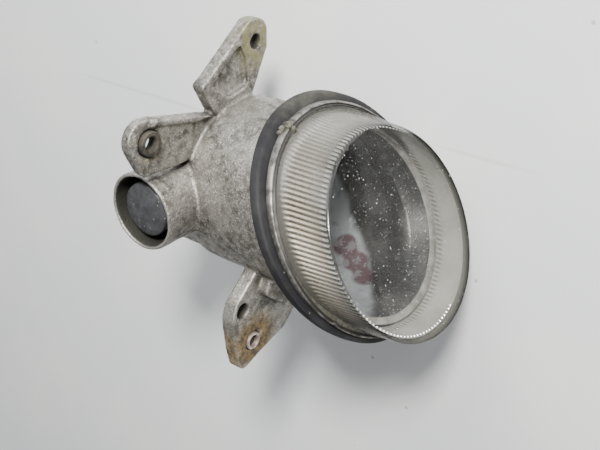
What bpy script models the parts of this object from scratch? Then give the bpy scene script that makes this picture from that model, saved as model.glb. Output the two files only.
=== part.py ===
import bpy
import bmesh
from math import pi, sin, cos, tan, sqrt, radians
from mathutils import Matrix, Vector

for old in list(bpy.data.objects):
    bpy.data.objects.remove(old, do_unlink=True)

# Fog light. Origin: on the barrel axis, in the rear cover's outer face.
# The lens faces -Y, the side tube points to +Z, the flange leans so that its -X edge stands forward.
# "depth" is the distance in front of the rear face (world Y = -depth);
# "lift" is the distance in front of the flange plane, square to that slanted plane.

mm = 0.001
gap = 0.3 * mm                      # between touching pieces
slant = radians(31.2)               # flange plane against the barrel axis
faceSlant = radians(27.8)           # the lens face leans a little less

barrelRadius = 35.2 * mm
rearRadius = 27 * mm                # behind the ears the casting narrows and steps aside
rearShift = -8 * mm
rearEnd = 18 * mm                   # depth where it starts to widen
flareEnd = 25 * mm
wall = 2.6 * mm
rearWall = 3.4 * mm
flangeDepth = 84 * mm               # flange plane on the barrel axis
flangeRadius = 47.6 * mm
flangeThickness = 2.6 * mm
flangeFront = 0.2 * mm

gasketRadius = 49.5 * mm
gasketLip = 1.2 * mm                # thickness of the gasket's front lip
ringRadius = 46.9 * mm
ringSheet = 0.7 * mm
ringHeight = 2.7 * mm
lensLipRadius = 45.4 * mm
lensLip = 1.7 * mm
lensBaseRadius = 44.5 * mm
lensFaceRadius = 41.5 * mm
lensHeight = 20.9 * mm
lensWall = 2.1 * mm
faceThickness = 2.6 * mm
ribCount = 128
ribDepth = 0.6 * mm

coverRadius = 22.3 * mm
coverThickness = 2.5 * mm
coverPad, padRise = 5.4 * mm, 0.4 * mm              # raised flat in the cover's middle: radius, height
coverScrewCircle = 19.2 * mm

reflectorWall = 1.5 * mm
vertexDepth = 13 * mm
mouthRadius = 37.6 * mm
mouthLift = 7.4 * mm
rimRadius = 39.9 * mm

tubeDepth = 19.4 * mm               # side tube's axis, in front of the rear face
tubeRadius = 16 * mm
tubeBore = 14.4 * mm
tubeMouth = 50.5 * mm               # from the barrel axis
tubeFloor = 34.2 * mm
tubeChamberRadius = 12.6 * mm
chamberTop = 31 * mm                # underside of the tube's floor
holderHole = 8.5 * mm
headRadius = 11 * mm
stemRadius = holderHole - 0.6 * mm
neckRadius = 6.2 * mm
lugReach = 10.4 * mm                # bayonet lugs, from the tube's axis

earFront = 29.4 * mm                # front face of the two rear ears
earThickness = 6 * mm
lowerEarFront = 58 * mm
lowerEarThickness = 6.5 * mm
pocketDepth = 2.4 * mm

cavityRadius = barrelRadius - wall
recessDepth = coverThickness + gap
chamberDepth = recessDepth + rearWall

upperHole = (56.2 * mm, -8.0 * mm, 3.1 * mm)       # x, z, radius
leftHole = (31.4 * mm, 51.2 * mm, 5.2 * mm)
bossSpot = (31.4 * mm, 50.8 * mm)
bossRadius = 9.4 * mm
bossRise = 0.8 * mm
lowerHole = (-37.6 * mm, 35.2 * mm, 3.3 * mm)
insertHole = (-54.4 * mm, 29.8 * mm, 4.2 * mm)

wireHole = (-13.6 * mm, 8 * mm)                     # x of the opening in the rear wall, its radius
plugWide, plugTall = 8.4 * mm, 14.4 * mm            # connector shell across x and z
plugLength = 12 * mm
pinSpread = 3 * mm
postRadius = 3.5 * mm
postHole = 1.6 * mm
postSpots = [(rearShift, 11 * mm), (rearShift, -11 * mm)]

leadRadius = 0.8 * mm
envelopeRadius = 4.6 * mm
glassWall = 0.7 * mm
baseRadius = 5 * mm
neckEnd = 19.6 * mm                 # heights above the barrel axis, along the tube
baseEnd = 12.2 * mm
envelopeTip = -7 * mm


def material(name, colour, roughness, metallic):
    mat = bpy.data.materials.new(name)
    mat.use_nodes = True
    shader = mat.node_tree.nodes["Principled BSDF"]
    shader.inputs["Base Color"].default_value = (*colour, 1)
    shader.inputs["Roughness"].default_value = roughness
    shader.inputs["Metallic"].default_value = metallic
    return mat


castAlloy = material("cast_alloy", (0.36, 0.34, 0.31), 0.55, 0.8)
darkRubber = material("dark_rubber", (0.06, 0.06, 0.065), 0.75, 0)
ringSteel = material("ring_steel", (0.42, 0.41, 0.38), 0.4, 0.9)
sealant = material("sealant", (0.42, 0.42, 0.34), 0.8, 0)
lensGlass = material("lens_glass", (0.78, 0.78, 0.72), 0.1, 0)
mirrorCoat = material("mirror_coat", (0.62, 0.64, 0.66), 0.12, 1)
holderPlastic = material("holder_plastic", (0.08, 0.085, 0.095), 0.6, 0)
clearGlass = material("clear_glass", (0.9, 0.9, 0.9), 0.05, 0)
bulbMetal = material("bulb_metal", (0.55, 0.53, 0.5), 0.35, 1)
filamentWire = material("filament_wire", (0.3, 0.3, 0.32), 0.4, 1)
contactBrass = material("contact_brass", (0.6, 0.48, 0.22), 0.35, 1)
liveInsulation = material("lead_red", (0.4, 0.05, 0.04), 0.6, 0)
groundInsulation = material("lead_black", (0.04, 0.04, 0.04), 0.6, 0)
coverPlastic = material("cover_plastic", (0.07, 0.07, 0.07), 0.65, 0)
screwSteel = material("screw_steel", (0.45, 0.44, 0.42), 0.4, 1)
rustySteel = material("rusty_steel", (0.3, 0.17, 0.08), 0.8, 0.4)
studSteel = material("stud_steel", (0.55, 0.5, 0.46), 0.45, 0.9)


def addNode(name, bm, mat, smooth=None):
    bmesh.ops.recalc_face_normals(bm, faces=bm.faces)
    mesh = bpy.data.meshes.new(name)
    bm.to_mesh(mesh)
    bm.free()
    node = bpy.data.objects.new(name, mesh)
    bpy.context.scene.collection.objects.link(node)
    node.data.materials.append(mat)
    if smooth:
        mesh.shade_smooth()
        mesh.set_sharp_from_angle(angle=radians(smooth))
    return node


def hide(node):
    node.hide_render = True
    node.display_type = "WIRE"
    return node


def combine(node, helpers, operation):
    # MANIFOLD, because EXACT lost the barrel and left open edges in the reflector and the cover.
    for tool in helpers:
        hide(tool)
        step = node.modifiers.new(operation.lower(), "BOOLEAN")
        step.operation = operation
        step.solver = "MANIFOLD"
        step.object = tool


def cut(node, *helpers):
    combine(node, helpers, "DIFFERENCE")


def fuse(node, *helpers):
    combine(node, helpers, "UNION")


def skin(rings, closed=False):
    # A body through rings of points; a ring of one point is a pole.
    bm = bmesh.new()
    loops = [[bm.verts.new(point) for point in ring] for ring in rings]
    pairs = list(zip(loops, loops[1:]))
    if closed:
        pairs.append((loops[-1], loops[0]))
    for near, far in pairs:
        if len(near) > len(far):
            near, far = far, near
        count = len(far)
        share = count // len(near)
        for i in range(count):
            j = (i + 1) % count
            if len(near) == 1:
                bm.faces.new((near[0], far[i], far[j]))
                continue
            a, b = near[i // share], near[(j // share) % len(near)]
            bm.faces.new((a, far[i], far[j]) if a is b else (a, far[i], far[j], b))
    return bm


def leanAt(lift):
    # The planes turn from the flange's slant to the face's as they go forward.
    return slant - (slant - faceSlant) * min(max(lift / lensHeight, 0), 1)


def leaningRing(radius, lift, count):
    # Circle in a plane that leans with the flange, its centre on the barrel axis.
    depth, lean = flangeDepth + lift / cos(slant), leanAt(lift)
    return [Vector((radius * cos(a) * cos(lean), radius * cos(a) * sin(lean) - depth, radius * sin(a)))
            for a in turns(count)]


def leaningCut(radius, lift, count):
    # Where a cylinder round the barrel axis meets a plane parallel to the flange.
    depth = flangeDepth + lift / cos(slant)
    return [Vector((radius * cos(a), radius * cos(a) * tan(slant) - depth, radius * sin(a)))
            for a in turns(count)]


def squareRing(radius, depth, count, x=0):
    return [Vector((x + radius * cos(a), -depth, radius * sin(a))) for a in turns(count)]


def turns(count):
    return [2 * pi * i / count for i in range(count)]


def leaningBand(profile, count):
    return skin([leaningRing(radius, lift, count) for radius, lift in profile], closed=True)


def rearPin(profile, count, x=0, z=0):
    # Turned body along the barrel axis from (radius, depth) pairs, off the axis by x and z.
    side = Vector((x, 0, z))
    return skin([[side + p for p in squareRing(r, d, count)] if r else [side + Vector((0, -d, 0))]
                 for r, d in profile])


def tubePin(profile, count):
    # Turned body along the side tube's axis from (radius, height) pairs.
    return skin([[Vector((r * cos(a), r * sin(a) - tubeDepth, z)) for a in turns(count)] if r
                 else [Vector((0, -tubeDepth, z))] for r, z in profile])


def tubeBand(profile, count):
    return skin([[Vector((r * cos(a), r * sin(a) - tubeDepth, z)) for a in turns(count)]
                 for r, z in profile], closed=True)


def rod(radius, near, far, count, x=0, z=0):
    return rearPin([(0, near), (radius, near), (radius, far), (0, far)], count, x, z)


def block(low, high):
    bm = bmesh.new()
    bmesh.ops.create_cube(bm, size=1)
    size = [b - a for a, b in zip(low, high)]
    middle = [(a + b) / 2 for a, b in zip(low, high)]
    bmesh.ops.scale(bm, vec=size, verts=bm.verts)
    bmesh.ops.translate(bm, vec=middle, verts=bm.verts)
    return bm


def plate(outline, near, far):
    # Outline in x and z, in millimetres, carried from one depth to another.
    bm = bmesh.new()
    back, front = [[bm.verts.new((x * mm, -depth, z * mm)) for x, z in outline] for depth in (near, far)]
    bm.faces.new(back)
    bm.faces.new(front)
    for i in range(len(outline)):
        j = (i + 1) % len(outline)
        bm.faces.new((back[i], back[j], front[j], front[i]))
    return bm


def rounded(corners, steps=4):
    # Outline from (x, z, radius) corners, each rounded by its own radius; 0 leaves a corner sharp.
    points = []
    for i, (x, z, radius) in enumerate(corners):
        here = Vector((x, z))
        if not radius:
            points.append((x, z))
            continue
        before = (Vector(corners[i - 1][:2]) - here).normalized()
        after = (Vector(corners[(i + 1) % len(corners)][:2]) - here).normalized()
        half = before.angle(after) / 2
        centre = here + (before + after).normalized() * radius / sin(half)
        start = (here + before * radius / tan(half) - centre).normalized()
        end = (here + after * radius / tan(half) - centre).normalized()
        points += [tuple(centre + start.slerp(end, k / steps) * radius) for k in range(steps + 1)]
    return points


def helper(name, bm):
    return hide(addNode(name, bm, castAlloy))


# ---- housing casting ----
segments = 72
flangeBack = flangeFront - flangeThickness
barrel = skin([
    [Vector((rearShift, 0, 0))],
    squareRing(rearRadius - 1.2 * mm, 0, segments, rearShift),
    squareRing(rearRadius, 1.2 * mm, segments, rearShift),
    squareRing(rearRadius, rearEnd, segments, rearShift),
    squareRing(rearRadius + 1.4 * mm, rearEnd + 2.4 * mm, segments, rearShift * 0.8),
    squareRing(barrelRadius - 1 * mm, flareEnd - 1 * mm, segments),
    squareRing(barrelRadius, flareEnd, segments),
    leaningCut(barrelRadius, flangeBack - 6 * mm, segments),
    leaningRing(flangeRadius - 5.6 * mm, flangeBack - 2 * mm, segments),
    leaningRing(flangeRadius - 1.6 * mm, flangeBack, segments),
    leaningRing(flangeRadius, flangeBack, segments),
    leaningRing(flangeRadius, flangeFront, segments),
    [Vector((0, -flangeDepth - flangeFront / cos(slant), 0))],
])
housing = addNode("housing", barrel, castAlloy, 32)

earBack = earFront - earThickness
upperOutline = rounded([(65.8, -5.4, 4.0), (64.4, -15.4, 6.0), (53.0, -15.4, 4.0), (33.0, -4.5, 0),
                        (26.0, 6.0, 0), (28.0, 14.0, 0), (45.4, 23.8, 1.8), (47.6, 19.4, 3.0)])
upperEar = helper("upper_ear", plate(upperOutline, earBack, earFront))
upperPocket = helper("upper_pocket", plate(rounded(
    [(57.2, 1.0, 2.0), (50.6, -2.4, 2.0), (39.6, -3.4, 2.0), (37.4, 8.0, 2.0), (44.4, 18.4, 2.0)], 3),
    earFront - pocketDepth, earFront + 3 * mm))

leftOutline = rounded([(32.0, 14.0, 0), (34.8, 24.0, 0), (41.8, 57.4, 7.6), (32.6, 62.0, 7.0),
                       (18.4, 55.0, 5.0), (17.6, 26.0, 0), (24.0, 15.0, 0)])
leftEar = helper("left_ear", plate(leftOutline, earBack + 0.6 * mm, earFront - 1.4 * mm))
leftLip = helper("left_lip", plate([(32.4, 18.0), (34.9, 25.0), (40.2, 49.8), (37.8, 50.6), (32.6, 27.0)],
                                   earBack + 1.6 * mm, earFront + 0.3 * mm))
leftBoss = helper("left_boss", rearPin([(0, earBack + 1.2 * mm), (bossRadius, earBack + 1.2 * mm),
                                        (bossRadius, earFront + bossRise - 1 * mm),
                                        (bossRadius - 1 * mm, earFront + bossRise),
                                        (0, earFront + bossRise)], 36, *bossSpot))

lowerOutline = rounded([(-22.0, 25.0, 0), (-33.5, 39.0, 5.0), (-40.5, 41.6, 5.0), (-55.5, 39.8, 8.0),
                        (-66.4, 37.4, 3.6), (-62.6, 25.5, 6.0), (-58.4, 9.0, 5.0), (-51.5, 2.0, 5.0),
                        (-32.0, -10.0, 0)])
lowerBack = lowerEarFront - lowerEarThickness
lowerEar = helper("lower_ear", plate(lowerOutline, lowerBack, lowerEarFront))
lowerGusset = helper("lower_gusset", plate(rounded(
    [(-23.0, 22.0, 0), (-32.5, 27.0, 2.0), (-43.5, 14.0, 3.0), (-42.5, 0.0, 3.0), (-30.0, -10.0, 0)], 3),
    lowerBack + 1 * mm, lowerEarFront + 5 * mm))

tubeEdge = 1 * mm
sideTube = helper("side_tube", tubePin([
    (0, 4 * mm), (tubeRadius + 1.4 * mm, 4 * mm), (tubeRadius + 1.4 * mm, cavityRadius - 2 * mm),
    (tubeRadius, tubeFloor + 2.4 * mm), (tubeRadius, tubeMouth - tubeEdge),
    (tubeRadius - tubeEdge * 0.6, tubeMouth), (0, tubeMouth)], 48))
fuse(housing, upperEar, leftEar, leftLip, leftBoss, lowerEar, lowerGusset, sideTube)

cavity = helper("cavity", skin([
    [Vector((rearShift, -chamberDepth, 0))],
    squareRing(rearRadius - wall, chamberDepth, segments, rearShift),
    squareRing(rearRadius - wall, rearEnd + 1 * mm, segments, rearShift),
    squareRing(cavityRadius, flareEnd + 1 * mm, segments),
    leaningCut(cavityRadius, flangeFront + 6 * mm, segments),
    [Vector((0, -flangeDepth - (flangeFront + 6 * mm) / cos(slant), 0))],
]))
coverRecess = helper("cover_recess", rod(coverRadius + gap, -2 * mm, recessDepth, 56, rearShift))
tubeChamber = helper("tube_chamber", tubePin([
    (0, 6 * mm), (tubeChamberRadius, 6 * mm), (tubeChamberRadius, chamberTop), (0, chamberTop)], 40))
wireOpening = helper("wire_opening", rod(wireHole[1], 1 * mm, chamberDepth + 1 * mm, 32, wireHole[0]))
tubeHollow = helper("tube_hollow", tubePin([
    (0, tubeFloor), (tubeBore, tubeFloor), (tubeBore, tubeMouth - 1.2 * mm),
    (tubeBore + 0.5 * mm, tubeMouth + 0.5 * mm), (0, tubeMouth + 0.5 * mm)], 48))
holderOpening = helper("holder_opening", tubePin([
    (0, 24 * mm), (holderHole, 24 * mm), (holderHole, tubeFloor + 1 * mm), (0, tubeFloor + 1 * mm)], 40))
lugNotch = helper("lug_notch", block((-lugReach - 0.6 * mm, -tubeDepth - 3 * mm, 24 * mm),
                                     (lugReach + 0.6 * mm, -tubeDepth + 3 * mm, tubeFloor + 1 * mm)))
cut(housing, cavity, tubeChamber, coverRecess, wireOpening, tubeHollow, holderOpening, lugNotch)

counterbore = 2 * mm
for i, (x, z) in enumerate(postSpots):
    cut(housing, helper(f"post_bore_{i}", rearPin([
        (0, recessDepth - 1 * mm), (3.3 * mm, recessDepth - 1 * mm), (3.3 * mm, recessDepth + counterbore),
        (postHole + 0.2 * mm, recessDepth + counterbore), (postHole + 0.2 * mm, chamberDepth + 1 * mm),
        (0, chamberDepth + 1 * mm)], 20, x, z)))

coverSpots = [(rearShift + coverScrewCircle * cos(radians(a)), coverScrewCircle * sin(radians(a)))
              for a in (60, 180, 300)]
coverPilot = 1.7 * mm
for i, (x, z) in enumerate(coverSpots):
    cut(housing, helper(f"cover_pilot_{i}", rod(coverPilot, 1 * mm, chamberDepth + 1 * mm, 16, x, z)))

earBores = [(upperHole, earFront, 28), (leftHole, earFront + bossRise, 28),
            (lowerHole, lowerEarFront, 28), (insertHole, lowerEarFront, 28)]
for i, ((x, z, radius), front, count) in enumerate(earBores):
    back = front - 12 * mm
    cut(housing, helper(f"ear_bore_{i}", rod(radius, back, front + 2 * mm, count, x, z)))
cut(housing, upperPocket)

# ---- flange stack: gasket, sealant, lens, retaining ring ----
sleeve = flangeRadius + gap
addNode("flange_gasket", leaningBand([
    (sleeve, -0.8 * mm), (gasketRadius - 0.3 * mm, -0.8 * mm),
    (gasketRadius, -0.3 * mm), (gasketRadius - 0.3 * mm, flangeFront + gasketLip - 0.2 * mm),
    (gasketRadius - 1 * mm, flangeFront + gasketLip + gap),
    (lensLipRadius + 0.7 * mm, flangeFront + gasketLip + gap),
    (lensLipRadius + 0.7 * mm, flangeFront + gap), (sleeve, flangeFront + gap)], 88), darkRubber, 40)

lipBack = flangeFront + gasketLip + 2 * gap
addNode("lens_sealant", leaningBand([
    (lensLipRadius - 3.2 * mm, flangeFront + gap), (lensLipRadius + 0.2 * mm, flangeFront + gap),
    (lensLipRadius + 0.2 * mm, lipBack - gap), (lensLipRadius - 3.2 * mm, lipBack - gap)], 64), sealant, 40)

lipFront = lipBack + lensLip
faceInside = lensHeight - faceThickness
smoothCount, ribbed = ribCount, ribCount * 2


def ribRing(radius, lift):
    # Inner wall ring whose radius steps in and out, one tooth to each rib.
    outer, inner = leaningRing(radius, lift, ribbed), leaningRing(radius - ribDepth, lift, ribbed)
    return [inner[i] if i % 2 else outer[i] for i in range(ribbed)]


innerBase = lensBaseRadius - lensWall
innerFace = lensFaceRadius - lensWall
edge = 0.9 * mm
addNode("lens", skin([
    [Vector((0, -flangeDepth - lensHeight / cos(slant), 0))],
    leaningRing(lensFaceRadius - edge, lensHeight, smoothCount),
    leaningRing(lensFaceRadius - edge * 0.3, lensHeight - edge * 0.3, smoothCount),
    leaningRing(lensFaceRadius, lensHeight - edge, smoothCount),
    leaningRing(lensBaseRadius, lipFront + gap, smoothCount),
    leaningRing(lensLipRadius, lipFront, smoothCount),
    leaningRing(lensLipRadius, lipBack, smoothCount),
    ribRing(innerBase, lipBack),
    ribRing(innerFace, faceInside),
    [Vector((0, -flangeDepth - faceInside / cos(slant), 0))],
]), lensGlass, 24)

ringFront = lipBack + ringHeight
ringBody = leaningBand([
    (lensLipRadius + gap, lipBack), (ringRadius, lipBack), (ringRadius, ringFront - 0.4 * mm),
    (ringRadius - 0.4 * mm, ringFront), (lensBaseRadius + gap, ringFront),
    (lensBaseRadius + gap, ringFront - ringSheet), (lensLipRadius + gap, ringFront - ringSheet)], 88)
retainer = addNode("retaining_ring", ringBody, ringSteel, 40)
splitAngle = radians(22)
splitAt = leaningRing(ringRadius, 2 * mm, 360)[round(splitAngle / (2 * pi) * 360)]
split = block((-4 * mm, -5 * mm, -1.1 * mm), (4 * mm, 5 * mm, 1.1 * mm))
bmesh.ops.translate(split, vec=splitAt, verts=split.verts)
cut(retainer, helper("ring_split", split))

# ---- reflector ----
bowlRim = cavityRadius - gap - reflectorWall
bowlCount = 56
bowlRimDepth = 54 * mm
focusTerm = bowlRim ** 2 / (bowlRimDepth - vertexDepth)
shellVertex = vertexDepth - 1.4 * mm
shellTerm = (cavityRadius - gap) ** 2 / (bowlRimDepth - shellVertex)
bowlSteps = (0.18, 0.34, 0.5, 0.64, 0.77, 0.89, 1)


def bowl(rim, vertex, term):
    return [[Vector((0, -vertex, 0))]] + [
        squareRing(rim * step, vertex + (rim * step) ** 2 / term, bowlCount) for step in bowlSteps]


shellRim = cavityRadius - gap
rimThickness = 1 * mm
shell = bowl(shellRim, shellVertex, shellTerm) + [
    leaningCut(shellRim, flangeFront + gap, bowlCount),
    leaningRing(mouthRadius + 0.6 * mm, mouthLift - rimThickness - 0.6 * mm, bowlCount),
    leaningRing(mouthRadius + 1.2 * mm, mouthLift - rimThickness, bowlCount),
    leaningRing(rimRadius, mouthLift - rimThickness, bowlCount),
    leaningRing(rimRadius, mouthLift, bowlCount),
    [Vector((0, -flangeDepth - mouthLift / cos(slant), 0))],
]
reflector = addNode("reflector", skin(shell), mirrorCoat, 32)
postEnd = 30 * mm
for i, (x, z) in enumerate(postSpots):
    fuse(reflector, helper(f"post_{i}", rod(postRadius, chamberDepth + gap, postEnd, 20, x, z)))
hollow = bowl(bowlRim, vertexDepth, focusTerm) + [
    leaningCut(bowlRim, flangeFront + 0.2 * mm, bowlCount),
    leaningRing(mouthRadius, mouthLift, bowlCount),
    leaningRing(mouthRadius, mouthLift + 2 * mm, bowlCount),
    [Vector((0, -flangeDepth - (mouthLift + 2 * mm) / cos(slant), 0))],
]
bulbHole = 6.4 * mm
cut(reflector, helper("reflector_hollow", skin(hollow)),
    helper("bulb_hole", tubePin([(0, 4 * mm), (bulbHole, 4 * mm), (bulbHole, 26 * mm), (0, 26 * mm)], 30)))
postBlind = chamberDepth + 9 * mm
for i, (x, z) in enumerate(postSpots):
    cut(reflector, helper(f"post_blind_{i}", rod(postHole, chamberDepth - 1 * mm, postBlind, 16, x, z)))
    screwShank = postHole - gap
    headSeat = recessDepth + counterbore - gap
    addNode(f"reflector_screw_{i + 1}", rearPin([
        (0, recessDepth + 1 * mm), (1.2 * mm, recessDepth + 0.9 * mm), (1.5 * mm, recessDepth + 0.3 * mm),
        (2.9 * mm, recessDepth + 0.5 * mm), (2.9 * mm, headSeat), (screwShank, headSeat),
        (screwShank, postBlind - 1 * mm), (0, postBlind - 0.4 * mm)], 20, x, z), screwSteel, 32)

# ---- bulb holder in the side tube: twists to lock ----
headSeatHeight = tubeFloor + 1.6 * mm
headTop = tubeMouth - 1.4 * mm
holder = addNode("bulb_holder", tubePin([
    (0, headTop), (3.4 * mm, headTop - 0.25 * mm), (6.8 * mm, headTop - 0.9 * mm),
    (9.6 * mm, headTop - 1.8 * mm), (headRadius, headTop - 3 * mm), (headRadius, headSeatHeight),
    (stemRadius, headSeatHeight), (stemRadius, 27 * mm), (neckRadius, 26.4 * mm), (neckRadius, neckEnd),
    (0, neckEnd)], 48), holderPlastic, 32)
lugTurn = radians(45)
lug = block((-lugReach, -2.4 * mm, chamberTop - gap - 2.2 * mm), (lugReach, 2.4 * mm, chamberTop - gap))
bmesh.ops.rotate(lug, cent=(0, 0, 0), verts=lug.verts,
                 matrix=Matrix.Rotation(lugTurn, 3, "Z"))
bmesh.ops.translate(lug, vec=(0, -tubeDepth, 0), verts=lug.verts)
fuse(holder, helper("holder_lugs", lug))

addNode("holder_seal", tubeBand([
    (holderHole + 0.2 * mm, tubeFloor + gap), (headRadius - 0.4 * mm, tubeFloor + gap),
    (headRadius - 0.1 * mm, tubeFloor + 0.65 * mm), (headRadius - 0.4 * mm, headSeatHeight - gap),
    (holderHole + 0.2 * mm, headSeatHeight - gap), (holderHole, tubeFloor + 0.65 * mm)], 40), darkRubber, 50)

addNode("bulb_base", tubePin([
    (0, neckEnd - gap), (baseRadius, neckEnd - gap), (baseRadius, baseEnd + 0.6 * mm),
    (baseRadius - 0.6 * mm, baseEnd), (0, baseEnd)], 32), bulbMetal, 32)

glassTop = baseEnd - gap
hollowRadius = envelopeRadius - glassWall
dome = [(0.35, 0.94), (0.7, 0.71), (0.93, 0.36), (1, 0)]
outerDome = [(envelopeRadius * a, envelopeTip + envelopeRadius * (1 - b)) for a, b in dome]
innerDome = [(hollowRadius * a, envelopeTip + envelopeRadius - hollowRadius * b) for a, b in reversed(dome)]
addNode("bulb_envelope", tubePin(
    [(0, envelopeTip)] + outerDome + [(envelopeRadius, glassTop), (hollowRadius, glassTop)] + innerDome
    + [(0, envelopeTip + glassWall)], 32), clearGlass, 40)


def wire(name, points, radius, mat, sides):
    curve = bpy.data.curves.new(name, "CURVE")
    curve.dimensions = "3D"
    curve.bevel_depth = radius
    curve.bevel_resolution = sides
    curve.use_fill_caps = True
    spline = curve.splines.new("POLY")
    spline.points.add(len(points) - 1)
    for spot, point in zip(spline.points, points):
        spot.co = (*point, 1)
    spline.use_smooth = True
    node = bpy.data.objects.new(name, curve)
    bpy.context.scene.collection.objects.link(node)
    curve.materials.append(mat)
    return node


coilRadius = 0.9 * mm
coilLength = 5 * mm
coilTurns = 5
supportSpread = 2 * mm
perTurn = 10
wireEnd = glassTop
coil = []
for i in range(coilTurns * perTurn + 1):
    angle = 2 * pi * i / perTurn
    height = coilLength / 2 - coilLength * i / (coilTurns * perTurn)
    coil.append((coilRadius * cos(angle), coilRadius * sin(angle) - tubeDepth, height))
supportIn = [(supportSpread, -tubeDepth, z * mm) for z in (wireEnd / mm, 8, 4.6)]
supportOut = [(-supportSpread, -tubeDepth, z * mm) for z in (-3.6, 0, 4.6, 8, wireEnd / mm)]
bridge = [(0.6 * mm, -tubeDepth, -3.4 * mm), (-1.2 * mm, -tubeDepth, -4.2 * mm)]
wire("bulb_filament", supportIn + [(1.6 * mm, -tubeDepth, 3.3 * mm)] + coil + bridge + supportOut,
     0.17 * mm, filamentWire, 0)

bladeNear = 8.2 * mm
bladeLow, bladeHigh = 22.4 * mm, 24.6 * mm
bladeHalf = 0.5 * mm
contactSpread = 2.6 * mm
bladeFar = tubeDepth - sqrt(neckRadius ** 2 - (contactSpread - bladeHalf) ** 2) - gap
for name, x in (("contact_live", -contactSpread), ("contact_ground", contactSpread)):
    addNode(name, block((x - bladeHalf, -bladeFar, bladeLow), (x + bladeHalf, -bladeNear, bladeHigh)), contactBrass)

# ---- rear cover, its seal and screws, the socket ----
slotX, slotZ = plugWide / 2 + gap, plugTall / 2 + gap
sealGroove = 0.9 * mm
sealInner, sealOuter = 14.6 * mm, 16.2 * mm
cover = addNode("rear_cover", rearPin([
    (0, padRise), (coverRadius - 0.6 * mm, padRise), (coverRadius, padRise + 0.6 * mm),
    (coverRadius, coverThickness),
    (sealOuter + gap, coverThickness), (sealOuter + gap, coverThickness - sealGroove),
    (sealInner - gap, coverThickness - sealGroove), (sealInner - gap, coverThickness),
    (0, coverThickness)], 56, rearShift), coverPlastic, 32)
fuse(cover, helper("cover_pad", rod(coverPad, 0, padRise + 1 * mm, 40, 1 * mm)))
cut(cover, helper("plug_slot", block((wireHole[0] - slotX, -4 * mm, -slotZ), (wireHole[0] + slotX, 2 * mm, slotZ))))
addNode("cover_seal", skin([squareRing(r, d, 48, rearShift) for r, d in (
    (sealInner, coverThickness - sealGroove + gap), (sealOuter, coverThickness - sealGroove + gap),
    (sealOuter, recessDepth - 0.1 * mm), (sealInner, recessDepth - 0.1 * mm))], closed=True), darkRubber, 40)
for i, (x, z) in enumerate(coverSpots):
    cut(cover, helper(f"cover_hole_{i}", rod(coverPilot, -1 * mm, coverThickness + 1 * mm, 16, x, z)))
    addNode(f"cover_screw_{i + 1}", rearPin([
        (0, -0.9 * mm), (0.9 * mm, -1 * mm), (1.2 * mm, -1.7 * mm), (2.0 * mm, -1.6 * mm),
        (2.8 * mm, -1 * mm), (2.8 * mm, padRise - gap), (coverPilot - gap, padRise - gap),
        (coverPilot - gap, chamberDepth - 0.6 * mm), (0, chamberDepth - 0.2 * mm)], 20, x, z), screwSteel, 32)

plugBack = coverThickness + 0.2 * mm
plugFloor = 3 * mm
plugWall = 1.4 * mm
x0 = wireHole[0]
socket = addNode("connector_body", block((x0 - plugWide / 2, -plugBack, -plugTall / 2),
                                         (x0 + plugWide / 2, plugLength, plugTall / 2)), coverPlastic)
fuse(socket, helper("plug_flange", block((x0 - plugWide / 2 - 1.8 * mm, gap - padRise, -plugTall / 2 - 2.2 * mm),
                                         (x0 + plugWide / 2 + 1.8 * mm, 1.8 * mm, plugTall / 2 + 2.2 * mm))))
cut(socket, helper("plug_mouth", block(
    (x0 - plugWide / 2 + plugWall, plugFloor, -plugTall / 2 + plugWall),
    (x0 + plugWide / 2 - plugWall, plugLength + 1 * mm, plugTall / 2 - plugWall))))
pinEnd = 5.2 * mm
pinThick, pinWide = 0.4 * mm, 0.8 * mm
for i, side in enumerate((1, -1)):
    z = side * pinSpread
    cut(socket, helper(f"pin_slot_{i}", block((x0 - pinThick - 0.2 * mm, -4 * mm, z - pinWide - 0.2 * mm),
                                              (x0 + pinThick + 0.2 * mm, 4 * mm, z + pinWide + 0.2 * mm))))
    addNode(f"connector_pin_{i + 1}", block((x0 - pinThick, -pinEnd, z - pinWide),
                                            (x0 + pinThick, plugLength - 3 * mm, z + pinWide)), contactBrass)


def smoothPath(stations, steps):
    # Catmull-Rom path through stations given in millimetres as x, depth, z.
    spots = [Vector((x, -d, z)) * mm for x, d, z in stations]
    ends = [spots[0] * 2 - spots[1]] + spots + [spots[-1] * 2 - spots[-2]]
    path = []
    for a, b, c, d in zip(ends, ends[1:], ends[2:], ends[3:]):
        for k in range(steps):
            t = k / steps
            path.append((b * 2 + (c - a) * t + (a * 2 - b * 5 + c * 4 - d) * t ** 2
                         + (b * 3 - a - c * 3 + d) * t ** 3) / 2)
    return path + [spots[-1]]


pinX, pinTip = x0 / mm, pinEnd / mm + 0.1
bladeX, bladeFoot = contactSpread / mm, bladeLow / mm - 0.35
wire("lead_live", smoothPath([(pinX, pinTip, 3), (pinX + 0.4, 7.4, 3.2), (-10.2, 9.3, 3.6), (-5.6, 10, 5.4),
                              (-2.9, 9.8, 10), (-bladeX, 9.6, 15), (-bladeX, 9.4, 19),
                              (-bladeX, 9.4, bladeFoot)], 3), leadRadius, liveInsulation, 2)
wire("lead_ground", smoothPath([(pinX, pinTip, -3), (pinX + 0.4, 7.4, -3), (-9.6, 9.4, -2.4), (-4, 10, 0.5),
                                (0.6, 9.8, 6), (bladeX - 0.2, 9.6, 12), (bladeX, 9.4, 17),
                                (bladeX, 9.4, bladeFoot)], 3), leadRadius, groundInsulation, 2)

# ---- steel pieces in the ears ----
bushFront = earFront + bossRise
bushLength = bushFront - earBack - 0.8 * mm


def ring(outer, inner, near, far, count, x, z):
    side = Vector((x, 0, z))
    return skin([[side + p for p in squareRing(r, d, count)]
                 for r, d in ((inner, near), (outer, near), (outer, far), (inner, far))], closed=True)


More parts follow.
